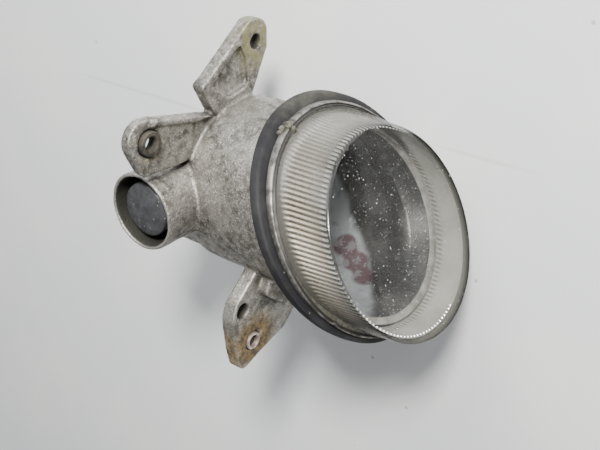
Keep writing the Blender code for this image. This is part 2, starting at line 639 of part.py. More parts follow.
addNode("ear_bushing", ring(leftHole[2] - gap, 3.4 * mm, bushFront - bushLength, bushFront - 0.4 * mm, 28,
                            leftHole[0], leftHole[1]), rustySteel, 32)
insertInner = 2.4 * mm
addNode("lug_insert", ring(insertHole[2] - gap, insertInner, lowerBack + 0.5 * mm, lowerEarFront + 0.6 * mm, 28,
                           insertHole[0], insertHole[1]), studSteel, 32)
addNode("lug_stud", rearPin([
    (0, lowerBack - 6 * mm), (insertInner - gap - 0.6 * mm, lowerBack - 6 * mm),
    (insertInner - gap, lowerBack - 5.4 * mm), (insertInner - gap, lowerEarFront - 0.9 * mm),
    (0, lowerEarFront - 0.6 * mm)], 20, insertHole[0], insertHole[1]), rustySteel, 32)
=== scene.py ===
from math import atan2, cos, hypot, pi, radians, sin, tan

import bmesh
import bpy
from mathutils import Matrix, Vector, noise


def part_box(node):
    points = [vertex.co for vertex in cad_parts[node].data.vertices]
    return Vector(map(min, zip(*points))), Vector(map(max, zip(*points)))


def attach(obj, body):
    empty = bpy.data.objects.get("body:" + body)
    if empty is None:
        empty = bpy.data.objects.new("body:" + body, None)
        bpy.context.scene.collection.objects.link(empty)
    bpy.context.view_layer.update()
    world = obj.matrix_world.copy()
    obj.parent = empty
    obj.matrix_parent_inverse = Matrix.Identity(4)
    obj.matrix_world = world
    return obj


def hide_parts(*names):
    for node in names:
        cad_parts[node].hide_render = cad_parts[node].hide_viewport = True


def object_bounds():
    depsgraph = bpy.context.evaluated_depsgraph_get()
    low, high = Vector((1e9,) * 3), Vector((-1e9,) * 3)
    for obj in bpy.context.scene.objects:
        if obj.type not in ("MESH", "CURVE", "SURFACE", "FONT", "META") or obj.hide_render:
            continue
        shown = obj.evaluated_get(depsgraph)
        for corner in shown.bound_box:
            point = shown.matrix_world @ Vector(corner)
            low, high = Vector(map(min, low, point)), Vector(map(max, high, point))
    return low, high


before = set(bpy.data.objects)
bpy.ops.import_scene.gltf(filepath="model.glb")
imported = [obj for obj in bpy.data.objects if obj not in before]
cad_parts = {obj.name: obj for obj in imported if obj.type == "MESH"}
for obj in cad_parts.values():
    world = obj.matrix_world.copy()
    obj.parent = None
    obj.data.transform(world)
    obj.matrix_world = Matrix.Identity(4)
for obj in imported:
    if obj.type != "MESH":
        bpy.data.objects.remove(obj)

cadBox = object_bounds()
mm = 0.001

# The camera, the floor and the light.
view = {
    "lens": 54,
    "place": (0.15944, -0.25732, 0.25759),
    "right": (0.00924, -0.78870, -0.61471),
    "up": (0.88329, 0.29460, -0.36470),
    "back": (0.46873, -0.53960, 0.69937),
}
cameraData = bpy.data.cameras.new("camera")
cameraData.lens = view["lens"]
cameraData.clip_start = 0.01
camera = bpy.data.objects.new("camera", cameraData)
turn = Matrix((view["right"], view["up"], view["back"])).transposed().to_4x4()
camera.matrix_world = Matrix.Translation(view["place"]) @ turn
bpy.context.scene.collection.objects.link(camera)
bpy.context.scene.camera = camera

studio = {
    "sky": (0.90, 0.93, 0.97), "skyLow": (0.60, 0.60, 0.60), "skyStrength": 0.5,
    "keyFrom": (0.68, -0.42, 0.60), "keyAway": 0.9, "keyWide": 0.15, "keyPower": 19,
    "topFrom": (0.95, 0.10, 0.42), "topAway": 1.1, "topWide": 0.7, "topPower": 9,
}


# Shader sums in Python: a Value stands for a socket.
class Value:
    def __init__(self, look, socket):
        self.look, self.socket = look, socket

    def sum(self, operation, *terms):
        return self.look.node("ShaderNodeMath", {"operation": operation}, terms)

    def __add__(self, other):
        return self.sum("ADD", self, other)

    def __radd__(self, other):
        return self.sum("ADD", other, self)

    def __sub__(self, other):
        return self.sum("SUBTRACT", self, other)

    def __rsub__(self, other):
        return self.sum("SUBTRACT", other, self)

    def __mul__(self, other):
        return self.sum("MULTIPLY", self, other)

    def __rmul__(self, other):
        return self.sum("MULTIPLY", other, self)

    def __pow__(self, other):
        return self.sum("POWER", self, other)


class Look:
    def __init__(self, name, roughness=0.5, metallic=0.0, **fixed):
        self.material = bpy.data.materials.new(name)
        self.material.use_nodes = True
        self.tree = self.material.node_tree
        self.shader = self.tree.nodes["Principled BSDF"]
        self.shader.inputs["Roughness"].default_value = roughness
        self.shader.inputs["Metallic"].default_value = metallic
        for name, value in fixed.items():
            self.shader.inputs[name.replace("_", " ")].default_value = value
        self.place = self.node("ShaderNodeTexCoord", out="Object")

    def node(self, kind, settings=None, inputs=(), out=0):
        made = self.tree.nodes.new(kind)
        for name, value in (settings or {}).items():
            setattr(made, name, value)
        named = inputs.items() if isinstance(inputs, dict) else enumerate(inputs)
        for name, value in named:
            if isinstance(value, Value):
                self.tree.links.new(value.socket, made.inputs[name])
            else:
                made.inputs[name].default_value = value
        if isinstance(out, tuple):
            return [Value(self, made.outputs[one]) for one in out]
        return Value(self, made.outputs[out])

    def set(self, name, value):
        self.tree.links.new(value.socket, self.shader.inputs[name])

    def noise(self, size, detail=3, roughness=0.55, distortion=0, at=None):
        # Fractal noise whose features are about this many metres across.
        return self.node("ShaderNodeTexNoise", None, {
            "Vector": at or self.place, "Scale": 1 / size, "Detail": detail,
            "Roughness": roughness, "Distortion": distortion}, "Fac")

    def ramp(self, value, low, high, start=0.0, end=1.0):
        return self.node("ShaderNodeMapRange", {"interpolation_type": "SMOOTHSTEP"},
                         (value, low, high, start, end))

    def specks(self, spacing, width, share):
        # Scattered dots: this share of the cells holds one.
        far, tint = self.node("ShaderNodeTexVoronoi", None,
                              {"Vector": self.place, "Scale": 1 / spacing, "Randomness": 1.0},
                              ("Distance", "Color"))
        chance = self.node("ShaderNodeSeparateColor", None, (tint,), "Red")
        return self.ramp(far, width / spacing * 0.4, width / spacing, 1, 0) * self.ramp(
            chance, 1 - share, 1 - share + 0.01)

    def near(self, spot, inner, outer):
        far = self.node("ShaderNodeVectorMath", {"operation": "DISTANCE"},
                        (self.place, Vector(spot)), "Value")
        return self.ramp(far, inner, outer, 1, 0)

    def well(self, spot, radius, front):
        # Inside a hole that runs back from depth front, round an axis through spot.
        x, y, z = [self.along(axis) for axis in "XYZ"]
        far = ((x - spot.x) ** 2 + (z - spot.z) ** 2) ** 0.5
        return self.ramp(far, radius + 0.1 * mm, radius + 0.5 * mm, 1, 0) * self.ramp(
            y, 0.6 * mm - front, 2.2 * mm - front)

    def mix(self, share, one, other):
        one, other = [c if isinstance(c, Value) else (*c, 1) for c in (one, other)]
        return self.node("ShaderNodeMix", {"data_type": "RGBA"}, {0: share, 6: one, 7: other}, 2)

    def stretched(self, scale, turned=(0, 0, 0)):
        return self.node("ShaderNodeMapping", None,
                         {"Vector": self.place, "Rotation": turned, "Scale": scale})

    def along(self, axis):
        return self.node("ShaderNodeSeparateXYZ", None, (self.place,), axis)

    def attribute(self, name):
        return self.node("ShaderNodeAttribute", {"attribute_name": name}, out="Fac")

    def bump(self, height, distance, strength=1.0):
        self.set("Normal", self.node("ShaderNodeBump", None, {
            "Height": height, "Distance": distance, "Strength": strength}))

    def seeThrough(self, share):
        # Part of the light goes straight through; share is how much of the surface stops it.
        clear = self.node("ShaderNodeBsdfTransparent")
        solid = Value(self, self.shader.outputs[0])
        blend = self.node("ShaderNodeMixShader", None, {0: share, 1: clear, 2: solid})
        self.tree.links.new(blend.socket, self.tree.nodes["Material Output"].inputs["Surface"])


def area(name, towards, away, wide, power, tint):
    data = bpy.data.lights.new(name, "AREA")
    data.size, data.energy, data.color = wide, power, tint
    lamp = bpy.data.objects.new(name, data)
    direction = Vector(towards).normalized()
    aim = direction.to_track_quat("Z", "Y").to_matrix().to_4x4()
    lamp.matrix_world = Matrix.Translation(direction * away) @ aim
    bpy.context.scene.collection.objects.link(lamp)


world = bpy.data.worlds.new("studio")
bpy.context.scene.world = world
world.use_nodes = True
skyNodes = world.node_tree
skyPlace = skyNodes.nodes.new("ShaderNodeTexCoord")
skySplit = skyNodes.nodes.new("ShaderNodeSeparateXYZ")
skyRamp = skyNodes.nodes.new("ShaderNodeMapRange")
skyMix = skyNodes.nodes.new("ShaderNodeMix")
skyMix.data_type = "RGBA"
skyRamp.inputs[1].default_value, skyRamp.inputs[2].default_value = -0.9, 0.9
skyMix.inputs[6].default_value, skyMix.inputs[7].default_value = (*studio["skyLow"], 1), (*studio["sky"], 1)
skyNodes.links.new(skyPlace.outputs["Generated"], skySplit.inputs[0])
skyNodes.links.new(skySplit.outputs["X"], skyRamp.inputs[0])
skyNodes.links.new(skyRamp.outputs[0], skyMix.inputs[0])
skyNodes.links.new(skyMix.outputs[2], skyNodes.nodes["Background"].inputs[0])
skyNodes.nodes["Background"].inputs[1].default_value = studio["skyStrength"]
area("key", studio["keyFrom"], studio["keyAway"], studio["keyWide"], studio["keyPower"], (1, 0.98, 0.95))
area("top", studio["topFrom"], studio["topAway"], studio["topWide"], studio["topPower"], (0.95, 0.97, 1))


def floorLook():
    look = Look("paleTable", roughness=0.5)
    cloud = look.noise(0.09, 4)
    tone = look.mix(look.ramp(cloud, 0.35, 0.65), (0.78, 0.795, 0.81), (0.84, 0.84, 0.83))
    scratches = look.noise(0.006, 2, at=look.stretched((1, 0.02, 1), (0, 0, 0.9)))
    tone = look.mix(look.ramp(scratches, 0.72, 0.78, 0, 0.25), tone, (0.42, 0.42, 0.42))
    dirtAndPaintedShade = look.specks(0.02, 0.0012, 0.3)
    look.set("Base Color", look.mix(dirtAndPaintedShade * 0.5, tone, (0.2, 0.2, 0.2)))
    return look.material


floorMesh = bpy.data.meshes.new("floor")
floorForm = bmesh.new()
bmesh.ops.create_grid(floorForm, x_segments=1, y_segments=1, size=3)
bmesh.ops.translate(floorForm, vec=(0, 0, cadBox[0][2] - 0.3 * mm), verts=floorForm.verts)
floorForm.to_mesh(floorMesh)
floorForm.free()
floor = bpy.data.objects.new("floor", floorMesh)
floorMesh.materials.append(floorLook())
bpy.context.scene.collection.objects.link(floor)
print("camera, floor and light ready")

# The slanted planes that the flange, the ring and the lens share.
slant = {"flangeDepth": 84 * mm, "flange": radians(31.2), "face": radians(27.8), "faceLift": 20.9 * mm}


def clamped(value):
    return min(max(value, 0), 1)


def leaned(bm):
    # Turned about Y with lift as depth, then laid into the slanted planes of the flange and the lens.
    for v in bm.verts:
        radius, angle, lift = hypot(v.co.x, v.co.z), atan2(v.co.z, v.co.x), -v.co.y
        share = clamped(lift / slant["faceLift"])
        lean = slant["flange"] + (slant["face"] - slant["flange"]) * share
        depth = slant["flangeDepth"] + lift / cos(slant["flange"])
        across = radius * cos(angle)
        v.co = (across * cos(lean), across * sin(lean) - depth, radius * sin(angle))
    return bm


def turned(profile, steps, closed=False, upright=None, merge=1e-6, unit=mm):
    # Spun from (radius, depth) pairs in millimetres about the barrel's axis,
    # or from (radius, height) pairs about the side tube's, whose place is given as upright.
    bm = bmesh.new()
    places = [Vector((r, 0, d) if upright is not None else (r, -d, 0)) for r, d in profile]
    points = [bm.verts.new(place * unit) for place in places]
    lines = [bm.edges.new(pair) for pair in zip(points, points[1:])]
    if closed:
        lines.append(bm.edges.new((points[-1], points[0])))
    axis = (0, 0, 1) if upright is not None else (0, 1, 0)
    bmesh.ops.spin(bm, geom=points + lines, cent=(0, 0, 0), axis=axis,
                   dvec=(0, 0, 0), angle=2 * pi, steps=steps, use_merge=True, use_duplicate=False)
    bmesh.ops.remove_doubles(bm, verts=bm.verts, dist=merge)
    if upright is not None:
        bmesh.ops.translate(bm, vec=(0, upright, 0), verts=bm.verts)
    bmesh.ops.recalc_face_normals(bm, faces=bm.faces)
    return bm


def moved(bm, x=0, z=0, y=0):
    bmesh.ops.translate(bm, vec=(x, y, z), verts=bm.verts)
    return bm


def box(low, high, edge=0, segments=3):
    # Between two corners given in millimetres.
    bm = bmesh.new()
    bmesh.ops.create_cube(bm, size=1)
    low, high = Vector(low) * mm, Vector(high) * mm
    bmesh.ops.scale(bm, vec=high - low, verts=bm.verts)
    bmesh.ops.translate(bm, vec=(low + high) / 2, verts=bm.verts)
    return eased(bm, edge, segments) if edge else bm


def eased(bm, width, segments=3, over=35):
    # Rounds every edge that is sharper than the given angle, by a width in millimetres.
    sharp = [e for e in bm.edges if len(e.link_faces) == 2 and e.calc_face_angle(0) > radians(over)]
    bmesh.ops.bevel(bm, geom=sharp, offset=width * mm, offset_type="OFFSET", segments=segments, profile=0.5,
                    affect="EDGES", clamp_overlap=True, material=-1)
    return bm


def plate(outline, near, far):
    # Outline corners (x, z, radius), rounded, then carried from one depth to another, all in millimetres.
    bm = bmesh.new()
    corners = [bm.verts.new((x * mm, -near * mm, z * mm)) for x, z, _ in outline]
    bm.faces.new(corners)
    for i, (corner, (x, z, radius)) in enumerate(zip(corners, outline)):
        if radius:
            here = Vector((x, z))
            before = Vector(outline[i - 1][:2]) - here
            after = Vector(outline[(i + 1) % len(outline)][:2]) - here
            reach = radius * mm / tan(before.angle(after) / 2)
            bmesh.ops.bevel(bm, geom=[corner], offset=reach, segments=8, offset_type="OFFSET",
                            profile=0.5, affect="VERTICES", clamp_overlap=True, material=-1)
    grown = bmesh.ops.extrude_face_region(bm, geom=bm.faces[:])
    bmesh.ops.translate(bm, vec=(0, (near - far) * mm, 0),
                        verts=[g for g in grown["geom"] if isinstance(g, bmesh.types.BMVert)])
    bmesh.ops.recalc_face_normals(bm, faces=bm.faces)
    return bm


def held(name, bm):
    mesh = bpy.data.meshes.new(name)
    bm.to_mesh(mesh)
    bm.free()
    thing = bpy.data.objects.new(name, mesh)
    bpy.context.scene.collection.objects.link(thing)
    return thing


def settled(thing):
    # The mesh with its modifiers worked in.
    bpy.context.view_layer.update()
    made = bpy.data.meshes.new_from_object(thing.evaluated_get(bpy.context.evaluated_depsgraph_get()))
    thing.modifiers.clear()
    thing.data = made
    return thing


def joined(body, tools, operation):
    for tool in tools:
        step = body.modifiers.new(operation, "BOOLEAN")
        step.operation, step.solver, step.object = operation, "MANIFOLD", tool
    settled(body)
    for tool in tools:
        bpy.data.objects.remove(tool)
    return body


def roughened(bm, size, depth, seed=0):
    # Small swells along the normals, so nothing is machine smooth.
    bm.normal_update()
    shift = Vector((seed, seed * 2, -seed))
    for v in bm.verts:
        v.co += v.normal * noise.noise(v.co / size + shift) * depth
    return bm


def finished(thing, looks, nodes, body="lamp", sharp=38):
    for i, look in enumerate(looks):
        if i < len(thing.data.materials):
            thing.data.materials[i] = look
        else:
            thing.data.materials.append(look)
    thing.data.shade_smooth()
    thing.data.set_sharp_from_angle(angle=radians(sharp))
    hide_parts(*nodes)
    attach(thing, body)
    print("made", thing.name, len(thing.data.polygons))
    return thing


def middle(node):
    low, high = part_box(node)
    return (low + high) / 2


bushing, stud = middle("ear_bushing"), middle("lug_stud")
tubeAxis = middle("bulb_holder").y
upperHole = Vector((56.2, -29.4, -8.0)) * mm
lowerHole = Vector((-37.6, -58.0, 35.2)) * mm


# Where shade is painted as dark patches, in millimetres: the place, the radii between which it fades, and how
# much.
paintedShadeSpots = (
    ((47.5, -27.2, 8.5), 2, 7.5, 1), ((-33, -58, 17), 4, 13, 1),
    ((27, -28.5, 46.5), 1, 5, 0.8), ((-51, -58, 28), 8, 22, 0.45),
)


def castLook():
    look = Look("castAlloy", metallic=0.75)
    broad, mottle, grain = look.noise(0.014, 3), look.noise(0.0030, 5, 0.7), look.noise(0.0007, 3, 0.7)
    colour = look.mix(look.ramp(mottle, 0.34, 0.62), (0.085, 0.079, 0.067), (0.29, 0.275, 0.245))
    colour = look.mix(look.ramp(broad, 0.38, 0.64, 0, 0.6), colour, (0.36, 0.345, 0.31))
    colour = look.mix(look.ramp(grain, 0.46, 0.37, 0, 0.5), colour, (0.07, 0.066, 0.056))
    worn = look.ramp(grain, 0.55, 0.68) * look.ramp(mottle, 0.40, 0.6, 0.2, 1)
    colour = look.mix(worn * 0.9, colour, (0.80, 0.79, 0.75))
    pits = look.specks(0.0026, 0.00055, 0.3)
    colour = look.mix(pits * 0.8, colour, (0.03, 0.028, 0.024))
    stain = look.noise(0.004, 4, 0.6)
    green = look.near(upperHole, 0.005, 0.016) * look.ramp(stain, 0.38, 0.54)
    colour = look.mix(green * 0.8, colour, (0.17, 0.155, 0.050))
    rust = look.near(stud, 0.0095, 0.017) * look.ramp(stain, 0.34, 0.46)
    rust = rust + look.near(bushing, 0.005, 0.009) * look.ramp(stain, 0.44, 0.6) * 0.6
    rustTone = look.mix(look.ramp(mottle, 0.36, 0.6), (0.055, 0.032, 0.010), (0.26, 0.165, 0.045))
    colour = look.mix(rust * 0.9, colour, rustTone)
    pointed = look.node("ShaderNodeNewGeometry", out="Pointiness")
    edge, paintedCreaseShade = look.ramp(pointed, 0.52, 0.6), look.ramp(pointed, 0.40, 0.485, 1, 0)
    openness = look.node("ShaderNodeAmbientOcclusion", {"samples": 8}, {"Distance": 0.009}, "AO")
    paintedCreaseShade = paintedCreaseShade * 0.5 + look.ramp(openness, 0.35, 0.85, 0.8, 0)
    # Painted shade: creases, hollows and recesses darkened where pointiness is low and by ambient occlusion.
    colour = look.mix(paintedCreaseShade, colour, (0.04, 0.037, 0.029))
    # Convex edges made lighter: partly rubbed metal, partly a painted highlight along the edges.
    colour = look.mix(edge * 0.6, colour, (0.66, 0.65, 0.61))
    dirtAndPaintedShade = 0
    for spot, inner, outer, share in paintedShadeSpots:
        dirtAndPaintedShade = dirtAndPaintedShade + look.near(Vector(spot) * mm, inner * mm, outer * mm) * share
    # Painted shade: dark patches at the spots above, broken up by the stain noise.
    colour = look.mix(dirtAndPaintedShade * look.ramp(stain, 0.34, 0.55) * 0.75, colour, (0.05, 0.047, 0.036))
    # Painted shade down the tube's bore and in the bolt holes.
    x, y, z = [look.along(axis) for axis in "XYZ"]
    across = (x ** 2 + (y - tubeAxis) ** 2) ** 0.5
    bore = look.ramp(across, 0.0149, 0.0153, 1, 0) * look.ramp(z, 0.0495, 0.0502, 1, 0)
    shade = bore * look.ramp(z, 0.033, 0.034)
    for spot, radius, front in ((upperHole, 0.0031, 0.0294), (bushing, 0.0052, 0.0300),
                                (lowerHole, 0.0033, 0.058), (stud, 0.0042, 0.058)):
        shade = shade + look.well(spot, radius, front)
    colour = look.mix(shade * 0.94, colour, (0.018, 0.018, 0.013))
    look.set("Base Color", colour)
    look.set("Metallic", 0.75 - rust * 0.6 - green * 0.5 - pits * 0.5 - shade * 0.5)
    look.set("Roughness", look.ramp(mottle, 0.3, 0.7, 0.60, 0.40) + rust * 0.25 + shade * 0.2)
    look.bump(mottle * 0.4 + grain * 0.6 - pits * 0.8, 0.0004, 0.85)
    return look.material


def rubberLook():
    look = Look("agedRubber", Specular_IOR_Level=0.25)
    dust, fine = look.noise(0.012, 4, 0.6), look.noise(0.0006, 3, 0.7)
    colour = look.mix(look.ramp(dust, 0.4, 0.7), (0.009, 0.009, 0.0105), (0.019, 0.019, 0.020))
    top = look.ramp(look.along("X") + dust * 0.02, 0.046, 0.058)
    colour = look.mix(top * 0.8, colour, (0.085, 0.083, 0.062))
    colour = look.mix(look.specks(0.003, 0.0004, 0.25) * 0.5, colour, (0.3, 0.29, 0.27))
    look.set("Base Color", colour)
    look.set("Roughness", look.ramp(fine, 0.3, 0.7, 0.55, 0.75))
    look.bump(fine + dust, 0.0002, 0.5)
    return look.material


def ringLook():
    look = Look("dullRing", metallic=0.8)
    stain, fine = look.noise(0.005, 5, 0.6), look.noise(0.0009, 4, 0.6)
    colour = look.mix(look.ramp(stain, 0.38, 0.62), (0.08, 0.077, 0.067), (0.26, 0.252, 0.232))
    colour = look.mix(look.ramp(fine, 0.6, 0.74, 0, 0.5), colour, (0.07, 0.066, 0.055))
    # Painted shade: the ring's inner lip, in the groove, is made near black and duller.
    colour = look.mix(look.attribute("groove"), colour, (0.02, 0.019, 0.017))
    look.set("Base Color", colour)
    look.set("Metallic", 0.8 - look.attribute("groove") * 0.6)
    look.set("Roughness", look.ramp(stain, 0.3, 0.7, 0.6, 0.34))
    look.bump(fine, 0.00015, 0.6)
    return look.material


def sealantLook():
    look = Look("oldSealant", Specular_IOR_Level=0.3)
    lumps = look.noise(0.002, 5, 0.6)
    colour = look.mix(look.ramp(lumps, 0.36, 0.64), (0.035, 0.034, 0.026), (0.12, 0.116, 0.09))
    look.set("Base Color", colour)
    look.set("Roughness", look.ramp(lumps, 0.3, 0.7, 0.85, 0.6))
    look.bump(lumps, 0.0005, 0.8)
    return look.material


castAlloy, agedRubber, dullRing, oldSealant = castLook(), rubberLook(), ringLook(), sealantLook()

# The housing: one casting with a barrel, a flange, three ears and a side tube.
casting = {
    "steps": 300, "voxel": 0.62 * mm, "fillets": 5, "swell": 0.10 * mm,
    "rearShift": -8, "flange": 47.6, "flangeLift": 0.2,
    "tube": 16, "tubeBore": 14.4, "tubeMouth": 50.5, "tubeFloor": 34.2,
    "earFront": 29.4, "earBack": 23.4, "lowerFront": 58, "lowerBack": 51.5,
}


def shifted(bm, depth):
    # The rear body stands off the barrel's axis, from this depth back.
    for v in bm.verts:
        v.co.x += casting["rearShift"] * mm * clamped((depth + v.co.y / mm) / 6)


def barrelForm():
    profile = [(0, 0), (25.8, 0), (27, 1.2), (27, 18), (27.5, 19.2), (28.6, 20.5), (34.2, 24), (35.2, 25.4),
               (35.2, 27), (35.2, 29), (35.2, 31.5), (35.2, 112), (0, 112)]
    softer = {24: 31.6, 25.4: 32.9, 27: 33.9, 29: 34.7, 31.5: 35.1}
    barrel = turned(profile, casting["steps"])
    for v in barrel.verts:
        # The shoulder is crisp only where the left ear stands on it.
        angle, depth = atan2(v.co.z, v.co.x), round(-v.co.y / mm, 1)
        if depth in softer:
            crisp = clamped((radians(64) - angle) / 0.1) * clamped((angle - radians(5)) / 0.2)
            pull = crisp + (1 - crisp) * softer[depth] * mm / hypot(v.co.x, v.co.z)
            v.co.x, v.co.z = v.co.x * pull, v.co.z * pull
    shifted(barrel, 24)
    slicePoint = (0, -slant["flangeDepth"] + 1 * mm, 0)
    sliceNormal = (sin(slant["flange"]), -cos(slant["flange"]), 0)
    bmesh.ops.bisect_plane(barrel, geom=barrel.verts[:] + barrel.edges[:] + barrel.faces[:], dist=1e-6,
                           plane_co=slicePoint, plane_no=sliceNormal, clear_outer=True)
    bmesh.ops.holes_fill(barrel, edges=[e for e in barrel.edges if e.is_boundary])
    bmesh.ops.recalc_face_normals(barrel, faces=barrel.faces)
    return barrel


def housingForm():
    c = casting
    body = held("castHousing", barrelForm())
    flange = leaned(turned((
        (0, -7.4), (36.6, -7.2), (41.6, -4.8), (45.4, -2.6), (c["flange"], -2.4),
        (c["flange"], c["flangeLift"]), (0, c["flangeLift"])), c["steps"]))
    tube = turned((
        (0, 4), (19.4, 4), (18.4, 27), (17.2, 32), (16.2, 36.5), (c["tube"], 40), (c["tube"], 49.8),
        (15.7, 50.3), (15.2, c["tubeMouth"]), (0, c["tubeMouth"])), 160, upright=tubeAxis)
    front, back = c["earFront"], c["earBack"]
    upperEar = plate([(65.8, -5.4, 4.0), (64.4, -15.4, 6.0), (53.0, -15.4, 4.0), (33.0, -4.5, 0),
                      (26.0, 6.0, 0), (28.0, 14.0, 0), (45.4, 23.8, 1.8), (47.6, 19.4, 3.0)], back, front)
    leftEar = plate([(32.0, 14.0, 0), (34.8, 24.0, 0), (41.8, 57.4, 7.6), (32.6, 62.0, 7.0),
                     (18.4, 55.0, 5.0), (17.6, 26.0, 0), (24.0, 15.0, 0)], back + 0.6, front - 1.4)
    leftLip = plate([(32.4, 18.0, 0), (34.9, 25.0, 0), (40.2, 49.8, 0), (37.8, 50.6, 0), (32.6, 27.0, 0)],
                    back + 1.6, front + 0.3)
    boss = moved(turned([(0, back + 1.2), (9.4, back + 1.2), (9.4, front - 1.3),
                         (9.0, front - 0.9), (0, front - 0.9)], 96), 31.4 * mm, 50.8 * mm)
    lowerFront, lowerBack = c["lowerFront"], c["lowerBack"]
    lug = plate([(-22.0, 25.0, 0), (-33.5, 39.0, 5.0), (-40.5, 41.6, 5.0), (-55.5, 39.8, 8.0),
                 (-66.4, 37.4, 3.6), (-62.6, 25.5, 6.0), (-58.4, 9.0, 5.0), (-51.5, 2.0, 5.0),
                 (-32.0, -10.0, 0)], lowerBack, lowerFront)
    gusset = plate([(-23.0, 22.0, 0), (-32.5, 27.0, 2.0), (-43.5, 14.0, 3.0), (-42.5, 0.0, 3.0),
                    (-30.0, -10.0, 0)], lowerBack + 1, lowerFront + 5)
    parts = {"flange": flange, "tube": tube, "upperEar": upperEar, "leftEar": leftEar, "leftLip": leftLip,
             "boss": boss, "lug": lug, "gusset": gusset}
    joined(body, [held(name, bm) for name, bm in parts.items()], "UNION")

    bore, mouth = c["tubeBore"], c["tubeMouth"]
    tubeHollow = turned([(0, c["tubeFloor"]), (bore, c["tubeFloor"]), (bore, mouth - 1),
                         (bore + 0.4, mouth + 0.5), (0, mouth + 0.5)], 160, upright=tubeAxis)
    pocket = plate([(57.2, 1.0, 2.0), (50.6, -2.4, 2.0), (39.6, -3.4, 2.0), (37.4, 8.0, 2.0),
                    (44.4, 18.4, 2.0)], front - 2.4, front + 3)
    bores = [(upperHole, 3.1, front), (bushing, 5.2, front),
             (lowerHole, 3.3, lowerFront), (stud, 4.2, lowerFront)]
    holes = [moved(turned([(0, f - 14), (r, f - 14), (r, f + 3), (0, f + 3)], 48),
                   spot.x, spot.z) for spot, r, f in bores]
    joined(body, [held(f"hollow{i}", bm) for i, bm in enumerate([tubeHollow, pocket] + holes)], "DIFFERENCE")

    # Remeshed and smoothed, so that every joint gets a cast fillet.
    remesh = body.modifiers.new("remesh", "REMESH")
    remesh.mode, remesh.voxel_size, remesh.use_smooth_shade = "VOXEL", c["voxel"], True
    smooth = body.modifiers.new("fillets", "SMOOTH")
    smooth.factor, smooth.iterations = 0.5, c["fillets"]
    settled(body)
    bm = bmesh.new()
    bm.from_mesh(body.data)
    roughened(roughened(bm, 7 * mm, c["swell"] * 1.6), 1.6 * mm, c["swell"] * 0.6, 3)
    bm.to_mesh(body.data)
    bm.free()

    inside = turned([(0, 6.2), (24.4, 6.2), (24.4, 19), (32.6, 26), (32.6, 114), (0, 114)], 200)
    shifted(inside, 25)
    chamber = turned([(0, 6), (12.6, 6), (12.6, 31), (0, 31)], 80, upright=tubeAxis)
    socketHole = turned([(0, 26), (8.5, 26), (8.5, 36), (0, 36)], 80, upright=tubeAxis)
    recess = moved(turned([(0, -2), (22.6, -2), (22.6, 2.8), (0, 2.8)], 120), -8 * mm)
    wireWay = moved(turned([(0, 1), (8, 1), (8, 8), (0, 8)], 60), -13.6 * mm)
    joined(body, [held("inside", inside), held("chamber", chamber), held("socketHole", socketHole),
                  held("recess", recess), held("wireWay", wireWay)], "DIFFERENCE")
    return body


finished(housingForm(), [castAlloy], ["housing"], sharp=50)

# What lies round the flange: the gasket, the sealant and the split ring.
stack = {"steps": 360, "splitAngle": radians(22), "split": 0.022, "grooveRadius": 45.62 * mm,
         "dentAngle": radians(128), "dent": 0.7, "prised": 0.3}

gasketForm = turned((
    (47.9, -1.9), (49.2, -2.0), (49.6, -1.7), (49.65, -1.0), (49.6, 0.6), (49.3, 1.25), (48.6, 1.6),
    (46.1, 1.75), (46.1, 0.5), (47.9, 0.5)), stack["steps"], closed=True)
finished(held("gasketBand", roughened(leaned(gasketForm), 14 * mm, 0.2 * mm)), [agedRubber],
         ["flange_gasket"])

beadForm = turned((
    (42.2, 0.5), (45.6, 0.5), (45.8, 0.9), (45.6, 1.5), (42.4, 1.5), (42.2, 1.0)),
    stack["steps"], closed=True)
beadForm = roughened(leaned(beadForm), 2 * mm, 0.12 * mm)


def atFlange(radius, angle, lift):
    spot = bmesh.new()
    spot.verts.new((radius * cos(angle), -lift, radius * sin(angle)))
    leaned(spot)
    place = next(iter(spot.verts)).co.copy()
    spot.free()
    return place


# Sealant squeezed out through the ring's split.
blobs = bmesh.new()
for angle, radius, lift, size in ((22, 46.4, 3.0, 1.9), (24.5, 46.9, 2.4, 1.4), (19.5, 46.2, 3.2, 1.3),
                                  (27.5, 46.8, 2.0, 1.1), (21, 45.2, 4.2, 1.1)):
    spot = atFlange(radius * mm, radians(angle), lift * mm)
    bmesh.ops.create_icosphere(blobs, subdivisions=4, radius=size * mm, matrix=Matrix.Translation(spot))
squeezed = held("blobs", roughened(blobs, 1.4 * mm, 0.5 * mm))
sealant = joined(held("sealantBead", beadForm), [squeezed], "UNION")
finished(sealant, [oldSealant], ["lens_sealant"], sharp=60)

ringForm = turned((
    (45.75, 2.0), (46.4, 2.0), (46.5, 2.3), (46.5, 3.5), (46.35, 3.85), (46.05, 4.0), (45.75, 3.9),
    (45.65, 3.7), (45.6, 3.45), (44.85, 4.15), (44.7, 4.0), (45.45, 3.1), (45.7, 3.0)),
    stack["steps"], closed=True)
groove = ringForm.verts.layers.float.new("groove")
